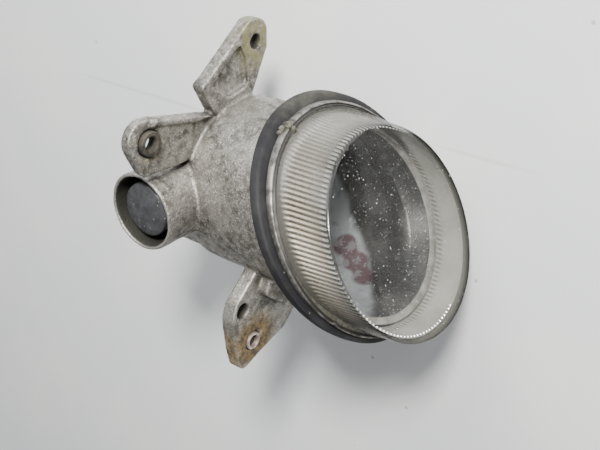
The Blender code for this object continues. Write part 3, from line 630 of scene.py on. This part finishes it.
# Vertices inside the groove radius carry the painted shade of the groove.
for v in ringForm.verts:
    v[groove] = 1.0 if hypot(v.co.x, v.co.z) < stack["grooveRadius"] else 0.0
gone = [f for f in ringForm.faces if abs(atan2(f.calc_center_median().z, f.calc_center_median().x)
                                         - stack["splitAngle"]) < stack["split"]]
bmesh.ops.delete(ringForm, geom=gone, context="FACES")
bmesh.ops.holes_fill(ringForm, edges=[e for e in ringForm.edges if e.is_boundary])
for v in ringForm.verts:
    # A dent at the lower left, and the sheet lifts a little where it was prised at the split.
    angle = atan2(v.co.z, v.co.x)
    dent = max(0, 1 - abs(angle - stack["dentAngle"]) / 0.03)
    prised = max(0, 1 - abs(angle - stack["splitAngle"]) / 0.25)
    pull = 1 - (stack["dent"] * dent - stack["prised"] * prised) * mm / hypot(v.co.x, v.co.z)
    v.co.x, v.co.z, v.co.y = v.co.x * pull, v.co.z * pull, v.co.y - prised * 0.25 * mm
bmesh.ops.recalc_face_normals(ringForm, faces=ringForm.faces)
finished(held("retainerRing", roughened(leaned(ringForm), 6 * mm, 0.12 * mm, 5)), [dullRing],
         ["retaining_ring"])
print("flange stack ready")

# The lens: a cup with a clear face and ribs inside its wall.
lensShape = {
    "ribs": 128, "fine": 6, "rings": 14,
    "base": 44.5, "face": 41.5, "lift": 20.9, "wall": 2.1, "faceWall": 2.6,
    "lipBack": 2.0, "lipFront": 3.7, "ribDepth": 0.85, "faceRim": 1.2,
    "nearAngle": radians(56), "beadIn": 0.75, "beadBack": 0.15, "beadRadius": 0.5,
}


def wallLook():
    look = Look("lensWall", roughness=0.12, Specular_IOR_Level=0.6)
    haze = look.noise(0.012, 4)
    colour = look.mix(look.ramp(haze, 0.35, 0.65), (0.20, 0.19, 0.16), (0.27, 0.26, 0.225))
    rimLine, far = look.attribute("rimLine"), look.attribute("far")
    # The far half is painted lighter and made less clear: painted light from the table coming through the
    # frosted glass.
    colour = look.mix(far, colour, (0.46, 0.46, 0.40))
    # A painted dark outline along the face's rim, where the glass is seen edge-on.
    look.set("Base Color", look.mix(rimLine, colour, (0.03, 0.03, 0.026)))
    look.set("Roughness", look.ramp(look.noise(0.003, 4), 0.3, 0.7, 0.10, 0.2))
    edge = look.node("ShaderNodeLayerWeight", None, {"Blend": 0.3}, "Facing")
    look.seeThrough(0.06 + edge * 0.2 + look.specks(0.003, 0.0004, 0.3) * 0.3 + far * 0.5 + rimLine * 0.5)
    return look.material


def ribLook():
    look = Look("lensRibs", roughness=0.2, metallic=0.35, Specular_IOR_Level=0.6)
    height, plain, far = look.attribute("rib"), look.attribute("plain"), look.attribute("far")
    haze, bead = look.noise(0.01, 4), look.attribute("bead")
    # Painted highlight on the rib crests and painted shade in the grooves between them.
    nearTone = look.mix(look.ramp(height, 0.2, 0.8), (0.06, 0.050, 0.037), (0.60, 0.54, 0.44))
    x = look.along("X")
    # A painted warm highlight across the middle of the near wall.
    paintedWarmHighlight = look.ramp(x, -0.020, 0.001) * look.ramp(x, 0.003, 0.020, 1, 0)
    nearTone = look.mix(paintedWarmHighlight * look.ramp(height, 0.45, 0.85) * 0.7, nearTone, (0.90, 0.80, 0.62))
    nearTone = look.mix(plain, nearTone, look.mix(haze, (0.11, 0.106, 0.092), (0.15, 0.146, 0.13)))
    shade = look.ramp(x, -0.040, 0.012, 0.6, 0)
    nearTone = look.mix(shade, nearTone, (0.09, 0.082, 0.066))
    nearTone = look.mix(look.ramp(x, 0.016, 0.036, 0, 0.75), nearTone, (0.23, 0.225, 0.20))
    # Painted glints on the beads' crests and painted shade between them.
    beadTone = look.mix(look.ramp(height, 0.35, 0.6), (0.012, 0.012, 0.011), (0.95, 0.94, 0.9))
    nearTone = look.mix(bead, nearTone, beadTone)
    # The far half is painted lighter: painted light from the table coming through the frosted glass.
    farTone = look.mix(look.ramp(haze, 0.35, 0.65), (0.42, 0.425, 0.36), (0.50, 0.50, 0.435))
    # Painted shadows of the ribs: short dark ticks near the base of the far wall.
    ticks = look.ramp(height, 0.3, 0.6, 1, 0) * look.attribute("root")
    farTone = look.mix(ticks * 0.75, farTone, (0.12, 0.12, 0.10))
    look.set("Base Color", look.mix(far, nearTone, farTone))
    look.set("Metallic", 0.45 * (1 - far))
    look.set("Roughness", look.ramp(haze, 0.3, 0.7, 0.22, 0.34) + far * 0.3)
    look.seeThrough(0.86 - far * 0.04 + plain * 0.1)
    return look.material


def faceLook():
    look = Look("lensFace", roughness=0.06, Specular_IOR_Level=0.5)
    dust = look.specks(0.0013, 0.0002, 0.45) + look.specks(0.0030, 0.00034, 0.3)
    smear = look.ramp(look.noise(0.014, 4), 0.45, 0.75)
    look.set("Base Color", look.mix(dust + smear * 0.1, (0.03, 0.03, 0.028), (0.85, 0.85, 0.82)))
    look.set("Roughness", 0.05 + smear * 0.1 + dust * 0.3)
    edge = look.node("ShaderNodeFresnel", None, {"IOR": 1.3})
    look.seeThrough(0.02 + edge * 0.3 + dust * 0.6 + smear * 0.02)
    return look.material


def lensForm():
    c = lensShape
    steps = c["ribs"] * c["fine"]
    innerBase, innerFace = c["base"] - c["wall"], c["face"] - c["faceRim"]
    innerLift = c["lift"] - c["faceWall"]
    shares = [i / c["rings"] for i in range(c["rings"] + 1)]
    inner = [(innerBase + (innerFace - innerBase) * t, c["lipBack"] + (innerLift - c["lipBack"]) * t)
             for t in shares]
    outer = [(0, c["lift"]), (20, c["lift"]), (40.3, c["lift"]), (40.9, 20.8), (41.3, 20.5), (41.5, 20.0),
             (42.9, 12), (c["base"], 4.2), (c["base"] + 0.15, 3.9), (45.2, c["lipFront"]), (45.4, 3.5),
             (45.4, c["lipBack"])]
    bm = turned(outer + inner + [(20, innerLift), (0, innerLift)], steps)
    rib, plain, far, root, bead, rimLine = [
        bm.verts.layers.float.new(name) for name in ("rib", "plain", "far", "root", "bead", "rimLine")]
    for v in bm.verts:
        radius, angle, lift = hypot(v.co.x, v.co.z), atan2(v.co.z, v.co.x), -v.co.y / mm
        # The far half of the wall, seen from inside, is nearly plain.
        side = cos(angle - c["nearAngle"])
        v[far] = farShare = clamped((0.10 - side) / 0.35)
        if radius > 40.85 * mm and lift > 19.9:
            v[rimLine] = 1.0
        wallRadius = innerBase + (innerFace - innerBase) * (lift - c["lipBack"]) / (innerLift - c["lipBack"])
        if lift > innerLift + 0.01 or abs(radius / mm - wallRadius) > 0.05:
            continue
        ribShare = clamped((lift - 4.6) / 1.6)
        wave = 0.5 + 0.5 * cos(angle * c["ribs"])
        v[rib], v[plain] = wave, 1 - ribShare
        v[bead] = clamped((lift - 16.6) / 0.5)
        v[root] = clamped((9.5 - lift) / 1.5) * clamped(lift - 6.0)
        depth = c["ribDepth"] * ribShare * (1 - 0.98 * farShare)
        shrink = 1 - depth * mm * wave / radius
        v.co.x, v.co.z = v.co.x * shrink, v.co.z * shrink
    # A small bead of glass at the end of each rib over a little more than half the way round.
    for i in range(c["ribs"]):
        angle = 2 * pi * i / c["ribs"]
        if cos(angle - radians(100)) > -0.2:
            away = innerFace - c["beadIn"]
            spot = Vector((away * cos(angle), c["beadBack"] - innerLift, away * sin(angle))) * mm
            ball = bmesh.ops.create_icosphere(bm, subdivisions=1, radius=c["beadRadius"] * mm,
                                              matrix=Matrix.Translation(spot))
            for v in ball["verts"]:
                v[rib], v[bead] = 1.0, 1.0
    # Slots: 0 the outer wall, 1 the ribbed inside, 2 the two sides of the face.
    for f in bm.faces:
        centre = f.calc_center_median()
        radius, lift = hypot(centre.x, centre.z) / mm, -centre.y / mm
        wallRadius = innerBase + (innerFace - innerBase) * (lift - c["lipBack"]) / (innerLift - c["lipBack"])
        if lift > 20.85 or (lift > innerLift - 0.05 and radius < innerFace):
            f.material_index = 2
        elif radius < wallRadius + 0.3:
            f.material_index = 1
    leaned(bm)
    bmesh.ops.recalc_face_normals(bm, faces=bm.faces)
    return bm


finished(held("lensShell", lensForm()), [wallLook(), ribLook(), faceLook()], ["lens"], sharp=32)
print("lens ready")

# The reflector: a round bowl whose mouth leans with the lens.
bowl = {
    "steps": 256, "rim": 31.1, "vertex": 13, "rimDepth": 54, "mouth": 37.6, "mouthLift": 7.4, "outer": 39.9,
    "paintedReflectionWay": Vector((-0.470, 0.707, 0.528)), "darkStreak": ((-26.1, -69.6, -16.9), (-28.7, -78.9, -11.9),
                                                          (-30.5, -87.1, -6.0)),
}


def mirrorLook():
    look = Look("dustyMirror", metallic=0.7)
    cloud, grime = look.noise(0.022, 4), look.noise(0.004, 5, 0.6)
    colour = look.mix(look.ramp(cloud, 0.36, 0.66), (0.050, 0.050, 0.047), (0.105, 0.105, 0.099))
    colour = look.mix(look.ramp(grime, 0.54, 0.72, 0, 0.4), colour, (0.16, 0.16, 0.15))
    # A lighter crescent on one side is a painted reflection, with a dark reddish streak beside it.
    across = look.node("ShaderNodeVectorMath", {"operation": "DOT_PRODUCT"},
                       (look.place, bowl["paintedReflectionWay"]), "Value")
    paintedReflection = look.ramp(across + cloud * 0.005, -0.0525, -0.0490) * look.ramp(grime, 0.28, 0.5, 0.55, 1)
    colour = look.mix(paintedReflection, colour, (0.30, 0.315, 0.325))
    darkStreak = 0
    for spot in bowl["darkStreak"]:
        darkStreak = darkStreak + look.near(Vector(spot) * mm, 0.0022, 0.0085)
    darkStreak = look.ramp(darkStreak + cloud * 0.8, 0.75, 1.25) * look.ramp(grime, 0.36, 0.5, 0.3, 1)
    colour = look.mix(darkStreak * 0.9, colour, (0.085, 0.040, 0.048))
    specks = look.specks(0.0014, 0.00021, 0.45)
    look.set("Base Color", look.mix(specks * 0.8, colour, (0.7, 0.7, 0.68)))
    look.set("Metallic", 0.75 - specks * 0.7 - look.ramp(grime, 0.56, 0.72, 0, 0.3) - paintedReflection * 0.4)
    look.set("Roughness", look.ramp(cloud, 0.3, 0.7, 0.34, 0.46) + specks * 0.3)
    look.bump(grime, 0.0001, 0.3)
    return look.material


def rimLook():
    look = Look("rimBand", roughness=0.45, metallic=0.2)
    stain = look.noise(0.006, 5, 0.6)
    look.set("Base Color", look.mix(look.ramp(stain, 0.36, 0.66), (0.20, 0.198, 0.165), (0.34, 0.335, 0.29)))
    look.set("Roughness", look.ramp(stain, 0.3, 0.7, 0.55, 0.4))
    return look.material


def circle(radius, depth, x=0):
    return lambda a: Vector((x + radius * cos(a), -depth, radius * sin(a))) * mm


def slantedCut(radius, lift):
    # Where a cylinder round the barrel's axis meets a plane parallel to the flange.
    depth = slant["flangeDepth"] / mm + lift / cos(slant["flange"])
    return lambda a: Vector((radius * cos(a), radius * cos(a) * tan(slant["flange"]) - depth,
                             radius * sin(a))) * mm


def leaningCircle(radius, lift):
    lean = slant["flange"] + (slant["face"] - slant["flange"]) * max(lift * mm / slant["faceLift"], 0)
    depth = slant["flangeDepth"] / mm + lift / cos(slant["flange"])
    return lambda a: Vector((radius * cos(a) * cos(lean), radius * cos(a) * sin(lean) - depth,
                             radius * sin(a))) * mm


def between(one, other, share):
    return lambda a: one(a).lerp(other(a), share)


def threaded(rings, steps, band=(0, 0)):
    # A stack of unit circles, each then laid where its ring says. The first and last rings are poles.
    # Faces between the two rings of the band get slot 1.
    last = len(rings) - 1
    bm = turned([(0 if k in (0, last) else 1, k) for k in range(last + 1)], steps, merge=1e-4, unit=1)
    for f in bm.faces:
        f.material_index = 1 if band[0] < -f.calc_center_median().y < band[1] else 0
    for v in bm.verts:
        v.co = rings[round(-v.co.y)](atan2(v.co.z, v.co.x))
    bmesh.ops.recalc_face_normals(bm, faces=bm.faces)
    return bm


def reflectorForm():
    c = bowl
    term = c["rim"] ** 2 / (c["rimDepth"] - c["vertex"])
    steps = [i / 20 for i in range(1, 21)]
    inside = [circle(0, c["vertex"])]
    inside += [circle(c["rim"] * t, c["vertex"] + (c["rim"] * t) ** 2 / term) for t in steps]
    throat, mouth = slantedCut(c["rim"], 0.4), leaningCircle(c["mouth"], c["mouthLift"])
    inside += [between(inside[-1], throat, t / 6) for t in range(1, 6)]
    inside += [between(throat, mouth, t / 8) for t in range(9)]
    brim = [leaningCircle(r, c["mouthLift"] + step) for r, step in (
        (c["mouth"] + 0.3, 0.15), (c["outer"] - 0.3, 0.1), (c["outer"], -0.2), (c["outer"], -0.8),
        (c["outer"] - 0.3, -1), (c["mouth"] + 1.2, -1), (c["mouth"] + 0.6, -1.6))]
    shellRim, shellVertex = c["rim"] + 1.2, c["vertex"] - 1.4
    shellTerm = shellRim ** 2 / (c["rimDepth"] - shellVertex)
    outside = [slantedCut(shellRim, 0.5)] + [
        circle(shellRim * t, shellVertex + (shellRim * t) ** 2 / shellTerm) for t in steps[::-1]]
    rings = inside + brim + outside + [circle(0, shellVertex)]
    return held("reflectorBowl", threaded(rings, c["steps"], (len(inside) - 2, len(inside) + 4)))


reflector = reflectorForm()
bulbWay = turned([(0, 4), (6.4, 4), (6.4, 26), (0, 26)], 64, upright=tubeAxis)
joined(reflector, [held("bulbWay", bulbWay)], "DIFFERENCE")
finished(reflector, [mirrorLook(), rimLook()], ["reflector"], sharp=40)
print("reflector ready")

# The bulb holder, its seal and the bulb, which turn together.
unit = "bulb_unit"
holderShape = {"head": 11, "stem": 7.9, "neck": 6.2, "seat": 35.8, "top": 49.1, "lug": 10.4, "steps": 120}


def holderLook():
    look = Look("slatePlastic", Specular_IOR_Level=0.4)
    cloud = look.noise(0.004, 5, 0.62)
    scuff = look.noise(0.0012, 4, 0.6, at=look.stretched((1, 3, 1), (0, 0, 0.7)))
    colour = look.mix(look.ramp(cloud, 0.36, 0.66), (0.026, 0.0265, 0.029), (0.048, 0.049, 0.053))
    colour = look.mix(look.ramp(scuff, 0.56, 0.7, 0, 0.4), colour, (0.10, 0.102, 0.108))
    colour = look.mix(look.specks(0.0016, 0.0003, 0.25) * 0.7, colour, (0.33, 0.32, 0.30))
    look.set("Base Color", colour)
    look.set("Roughness", look.ramp(cloud, 0.3, 0.7, 0.6, 0.44))
    look.bump(scuff + cloud, 0.0002, 0.45)
    return look.material


def glassLook():
    look = Look("bulbGlass", roughness=0.04, Specular_IOR_Level=0.6)
    smoke = look.noise(0.006, 3)
    look.set("Base Color", look.mix(look.ramp(smoke, 0.4, 0.7), (0.72, 0.72, 0.70), (0.36, 0.34, 0.31)))
    look.set("Roughness", look.ramp(smoke, 0.3, 0.7, 0.03, 0.1))
    edge = look.node("ShaderNodeLayerWeight", None, {"Blend": 0.5}, "Facing")
    look.seeThrough(0.14 + edge * 0.6)
    return look.material


def metalLook(name, dark, light, metallic, rough, grainSize=0.0008, bumped=0.00012):
    look = Look(name, metallic=metallic)
    stain, grain = look.noise(0.004, 5, 0.6), look.noise(grainSize, 4, 0.6)
    colour = look.mix(look.ramp(stain, 0.36, 0.66), dark, light)
    deep = tuple(part * 0.35 for part in dark)
    look.set("Base Color", look.mix(look.ramp(grain, 0.56, 0.72, 0, 0.4), colour, deep))
    look.set("Roughness", look.ramp(stain, 0.3, 0.7, rough + 0.12, rough - 0.06))
    look.bump(grain, bumped, 0.6)
    return look.material


def mouldedLook(name, dark, light, rough):
    look = Look(name, Specular_IOR_Level=0.4)
    cloud, grain = look.noise(0.008, 4, 0.6), look.noise(0.0005, 2, 0.6)
    colour = look.mix(look.ramp(cloud, 0.36, 0.66), dark, light)
    look.set("Base Color", look.mix(look.specks(0.0025, 0.0004, 0.25) * 0.5, colour, (0.34, 0.33, 0.30)))
    look.set("Roughness", look.ramp(cloud, 0.3, 0.7, rough + 0.1, rough - 0.08))
    look.bump(grain, 0.00008, 0.6)
    return look.material


slatePlastic, bulbGlass = holderLook(), glassLook()
plating = metalLook("satinPlating", (0.34, 0.33, 0.31), (0.60, 0.58, 0.55), 1, 0.36)
filamentGrey = metalLook("filamentGrey", (0.16, 0.16, 0.17), (0.34, 0.34, 0.36), 1, 0.4)
brass = metalLook("contactBrass", (0.34, 0.25, 0.10), (0.66, 0.53, 0.25), 1, 0.34)
rustedSteel = metalLook("rustedSteel", (0.020, 0.018, 0.014), (0.060, 0.052, 0.040), 0.1, 0.85,
                        0.0006, 0.0003)
wornSteel = metalLook("wornSteel", (0.40, 0.31, 0.26), (0.78, 0.70, 0.65), 0.85, 0.36, 0.0009, 0.0002)
coverPlastic = mouldedLook("coverPlastic", (0.035, 0.035, 0.036), (0.075, 0.074, 0.073), 0.55)
liveInsulation = mouldedLook("liveInsulation", (0.24, 0.025, 0.02), (0.42, 0.05, 0.04), 0.5)
groundInsulation = mouldedLook("groundInsulation", (0.018, 0.018, 0.018), (0.05, 0.05, 0.05), 0.5)

h = holderShape
dome = [(h["head"] * sin(a), h["top"] - 2.2 + 2.2 * cos(a) ** 0.8) for a in
        [radians(4.5 * i) for i in range(1, 18)]]
holderForm = turned([(0, h["top"])] + dome + [
    (h["head"], h["top"] - 2.6), (h["head"], h["seat"] + 0.3), (h["head"] - 0.3, h["seat"]),
    (h["stem"], h["seat"]), (h["stem"], 27.3), (h["stem"] - 0.3, 27), (h["neck"] + 0.2, 26.6),
    (h["neck"], 26.3), (h["neck"], 19.9),
    (h["neck"] - 0.3, 19.6), (0, 19.6)], h["steps"], upright=tubeAxis)
lugForm = box((-h["lug"], -2.4, 28.5), (h["lug"], 2.4, 30.7), 0.4)
bmesh.ops.rotate(lugForm, cent=(0, 0, 0), matrix=Matrix.Rotation(radians(45), 3, "Z"), verts=lugForm.verts)
holder = joined(held("bulbHolder", roughened(holderForm, 4 * mm, 0.05 * mm)),
                [held("lugs", moved(lugForm, y=tubeAxis))], "UNION")
finished(holder, [slatePlastic], ["bulb_holder"], unit)

sealForm = turned((
    (8.6, 34.5), (10.5, 34.5), (10.85, 34.8), (10.9, 35.1), (10.8, 35.35), (10.5, 35.5), (8.8, 35.5),
    (8.5, 35.2), (8.45, 34.8)), 96, closed=True, upright=tubeAxis)
finished(held("holderSeal", sealForm), [agedRubber], ["holder_seal"], unit)

baseForm = turned((
    (0, 19.3), (4.7, 19.3), (5, 19.0), (5, 17.6), (4.8, 17.4), (4.8, 17.0), (5, 16.8), (5, 12.8),
    (4.6, 12.25), (0, 12.2)), 72, upright=tubeAxis)
finished(held("bulbBase", baseForm), [plating], ["bulb_base"], unit)

outerGlass = [(4.6 * sin(radians(a)), -2.4 - 4.6 * cos(radians(a))) for a in range(6, 91, 7)]
innerGlass = [(3.9 * sin(radians(a)), -2.4 - 3.9 * cos(radians(a))) for a in range(90, 5, -7)]
glassForm = turned([(0, -7)] + outerGlass + [
    (4.6, 9.8), (4.3, 10.8), (4.5, 11.9), (3.8, 11.9), (3.6, 10.8), (3.9, 9.8)] + innerGlass + [(0, -6.3)],
    72, upright=tubeAxis)
finished(held("bulbGlass", glassForm), [bulbGlass], ["bulb_envelope"], unit)
for node, look in (("bulb_filament", filamentGrey), ("contact_live", brass), ("contact_ground", brass)):
    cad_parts[node].data.materials.clear()
    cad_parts[node].data.materials.append(look)
print("bulb ready")

# The rear cover with its socket, the screws and the leads.
rear = {"x": -8, "circle": 19.2, "plugX": -13.6, "plug": (8.4, 14.4, 12), "wall": 1.4,
        "pinSpread": (3, -3), "postSpread": (11, -11)}
spots = [(rear["x"] + rear["circle"] * cos(a), rear["circle"] * sin(a)) for a in map(radians, (60, 180, 300))]
coverForm = moved(turned((
    (0, 0.9), (10.5, 0.9), (11.1, 0.5), (14.4, 0.5), (15, 0.9), (20.6, 0.9), (21.2, 0.4), (21.9, 0.4),
    (22.3, 0.8), (22.3, 2.5), (0, 2.5)), 160), rear["x"] * mm)
pad = moved(eased(turned([(0, 0), (5.4, 0), (5.4, 1.4), (0, 1.4)], 80), 0.15), 1 * mm)
bosses = [moved(eased(turned([(0, 0.4), (3.3, 0.4), (3.3, 2), (0, 2)], 48), 0.12),
                x * mm, z * mm) for x, z in spots]
raised = [held(f"boss{i}", bm) for i, bm in enumerate([pad] + bosses)]
cover = joined(held("rearCover", coverForm), raised, "UNION")
wide, tall, deep = rear["plug"]
x0 = rear["plugX"]
slot = box((x0 - wide / 2 - 0.3, -5, -tall / 2 - 0.3),
           (x0 + wide / 2 + 0.3, 2, tall / 2 + 0.3))
holes = [moved(turned([(0, -1), (1.7, -1), (1.7, 4), (0, 4)], 32), x * mm, z * mm)
         for x, z in spots]
joined(cover, [held(f"hole{i}", bm) for i, bm in enumerate([slot] + holes)], "DIFFERENCE")
finished(cover, [coverPlastic], ["rear_cover"])
sealRing = turned(((14.6, 1.95), (16.2, 1.95), (16.2, 2.7), (14.6, 2.7)), 120, closed=True)
finished(held("coverSeal", moved(eased(sealRing, 0.15), rear["x"] * mm)), [agedRubber],
         ["cover_seal"])

plug = held("socketShell", box((x0 - wide / 2, -2.7, -tall / 2),
                               (x0 + wide / 2, deep, tall / 2), 0.6, 4))
brim = held("brim", box((x0 - wide / 2 - 1.8, -0.1, -tall / 2 - 2.2),
                        (x0 + wide / 2 + 1.8, 1.8, tall / 2 + 2.2), 0.5, 4))
latch = held("latch", box((x0 + wide / 2 - 0.4, 6.2, -2.2),
                          (x0 + wide / 2 + 0.9, 8.6, 2.2), 0.3))
joined(plug, [brim, latch], "UNION")
inset = rear["wall"]
mouthBox = held("mouthBox", box((x0 - wide / 2 + inset, 3, -tall / 2 + inset),
                                (x0 + wide / 2 - inset, deep + 1, tall / 2 - inset)))
pinWays = [held(f"pinWay{i}", box(((x0 - 0.6), -4, (z - 1)), ((x0 + 0.6), 4, (z + 1))))
           for i, z in enumerate(rear["pinSpread"])]
joined(plug, [mouthBox] + pinWays, "DIFFERENCE")
finished(plug, [coverPlastic], ["connector_body"])
for i, z in enumerate(rear["pinSpread"]):
    pin = box(((x0 - 0.4), -5.2, (z - 0.8)), ((x0 + 0.4), 9, (z + 0.8)), 0.18)
    finished(held(f"socketPin{i + 1}", pin), [brass], [f"connector_pin_{i + 1}"])


def screwForm(headBack, headRadius, shank, end):
    # Pan head with a crossed recess.
    r, b = headRadius, headBack
    form = held("screw", turned((
        (0, b), (r * 0.45, b + 0.03), (r * 0.8, b + 0.25), (r * 0.97, b + 0.65), (r, b + 0.95), (r, b + 1.75),
        (r * 0.93, b + 1.85), (shank, b + 1.85), (shank, end - 0.4), (shank * 0.6, end), (0, end)), 64))
    arms = [held(f"arm{i}", box((-w, -(b + 0.9), -t), (w, 2, t)))
            for i, (w, t) in enumerate(((r * 0.55, r * 0.13), (r * 0.13, r * 0.55)))]
    return joined(form, arms, "DIFFERENCE")


for i, (x, z) in enumerate(spots):
    screw = screwForm(-1.75, 2.8, 1.4, 5.8)
    screw.name = f"coverScrew{i + 1}"
    screw.data.transform(Matrix.Translation((x * mm, 0, z * mm)))
    finished(screw, [plating], [f"cover_screw_{i + 1}"])
for i, z in enumerate(rear["postSpread"]):
    screw = screwForm(3.0, 2.85, 1.3, 14.2)
    screw.name = f"reflectorScrew{i + 1}"
    screw.data.transform(Matrix.Translation((rear["x"] * mm, 0, z * mm)))
    finished(screw, [plating], [f"reflector_screw_{i + 1}"])
for node, look in (("lead_live", liveInsulation), ("lead_ground", groundInsulation)):
    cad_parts[node].data.materials.clear()
    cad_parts[node].data.materials.append(look)
print("rear ready")


# The steel pieces in the ears.
def sleeveForm(name, outer, inner, near, far, spot, taper=0):
    form = turned((
        (inner - 0.2, near + 0.6), (inner + 0.3, near), (outer - 0.3, near), (outer, near + 0.3),
        (outer, far - 0.4), (outer - 0.4, far), (inner - taper + 0.5, far), (inner - taper, far - 0.5)),
        72, closed=True)
    return held(name, moved(roughened(form, 1.2 * mm, 0.08 * mm), spot.x, spot.z))


bushNear, bushFar = [-c.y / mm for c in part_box("ear_bushing")[::-1]]
finished(sleeveForm("earBushing", 4.9, 3.3, bushNear, bushFar, bushing, 0.5), [rustedSteel],
         ["ear_bushing"])
insertNear, insertFar = [-c.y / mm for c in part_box("lug_insert")[::-1]]
finished(sleeveForm("lugInsert", 3.9, 2.4, insertNear, insertFar, middle("lug_insert")), [wornSteel],
         ["lug_insert"])
studNear, studFar = [-c.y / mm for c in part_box("lug_stud")[::-1]]
studForm = turned((
    (0, studNear), (1.8, studNear), (2.1, studNear + 0.3), (2.1, studFar - 0.8), (1.7, studFar - 0.2),
    (0, studFar)), 48)
finished(held("lugStud", moved(roughened(studForm, 0.9 * mm, 0.15 * mm), stud.x, stud.z)), [rustedSteel],
         ["lug_stud"])
print("steel pieces ready")
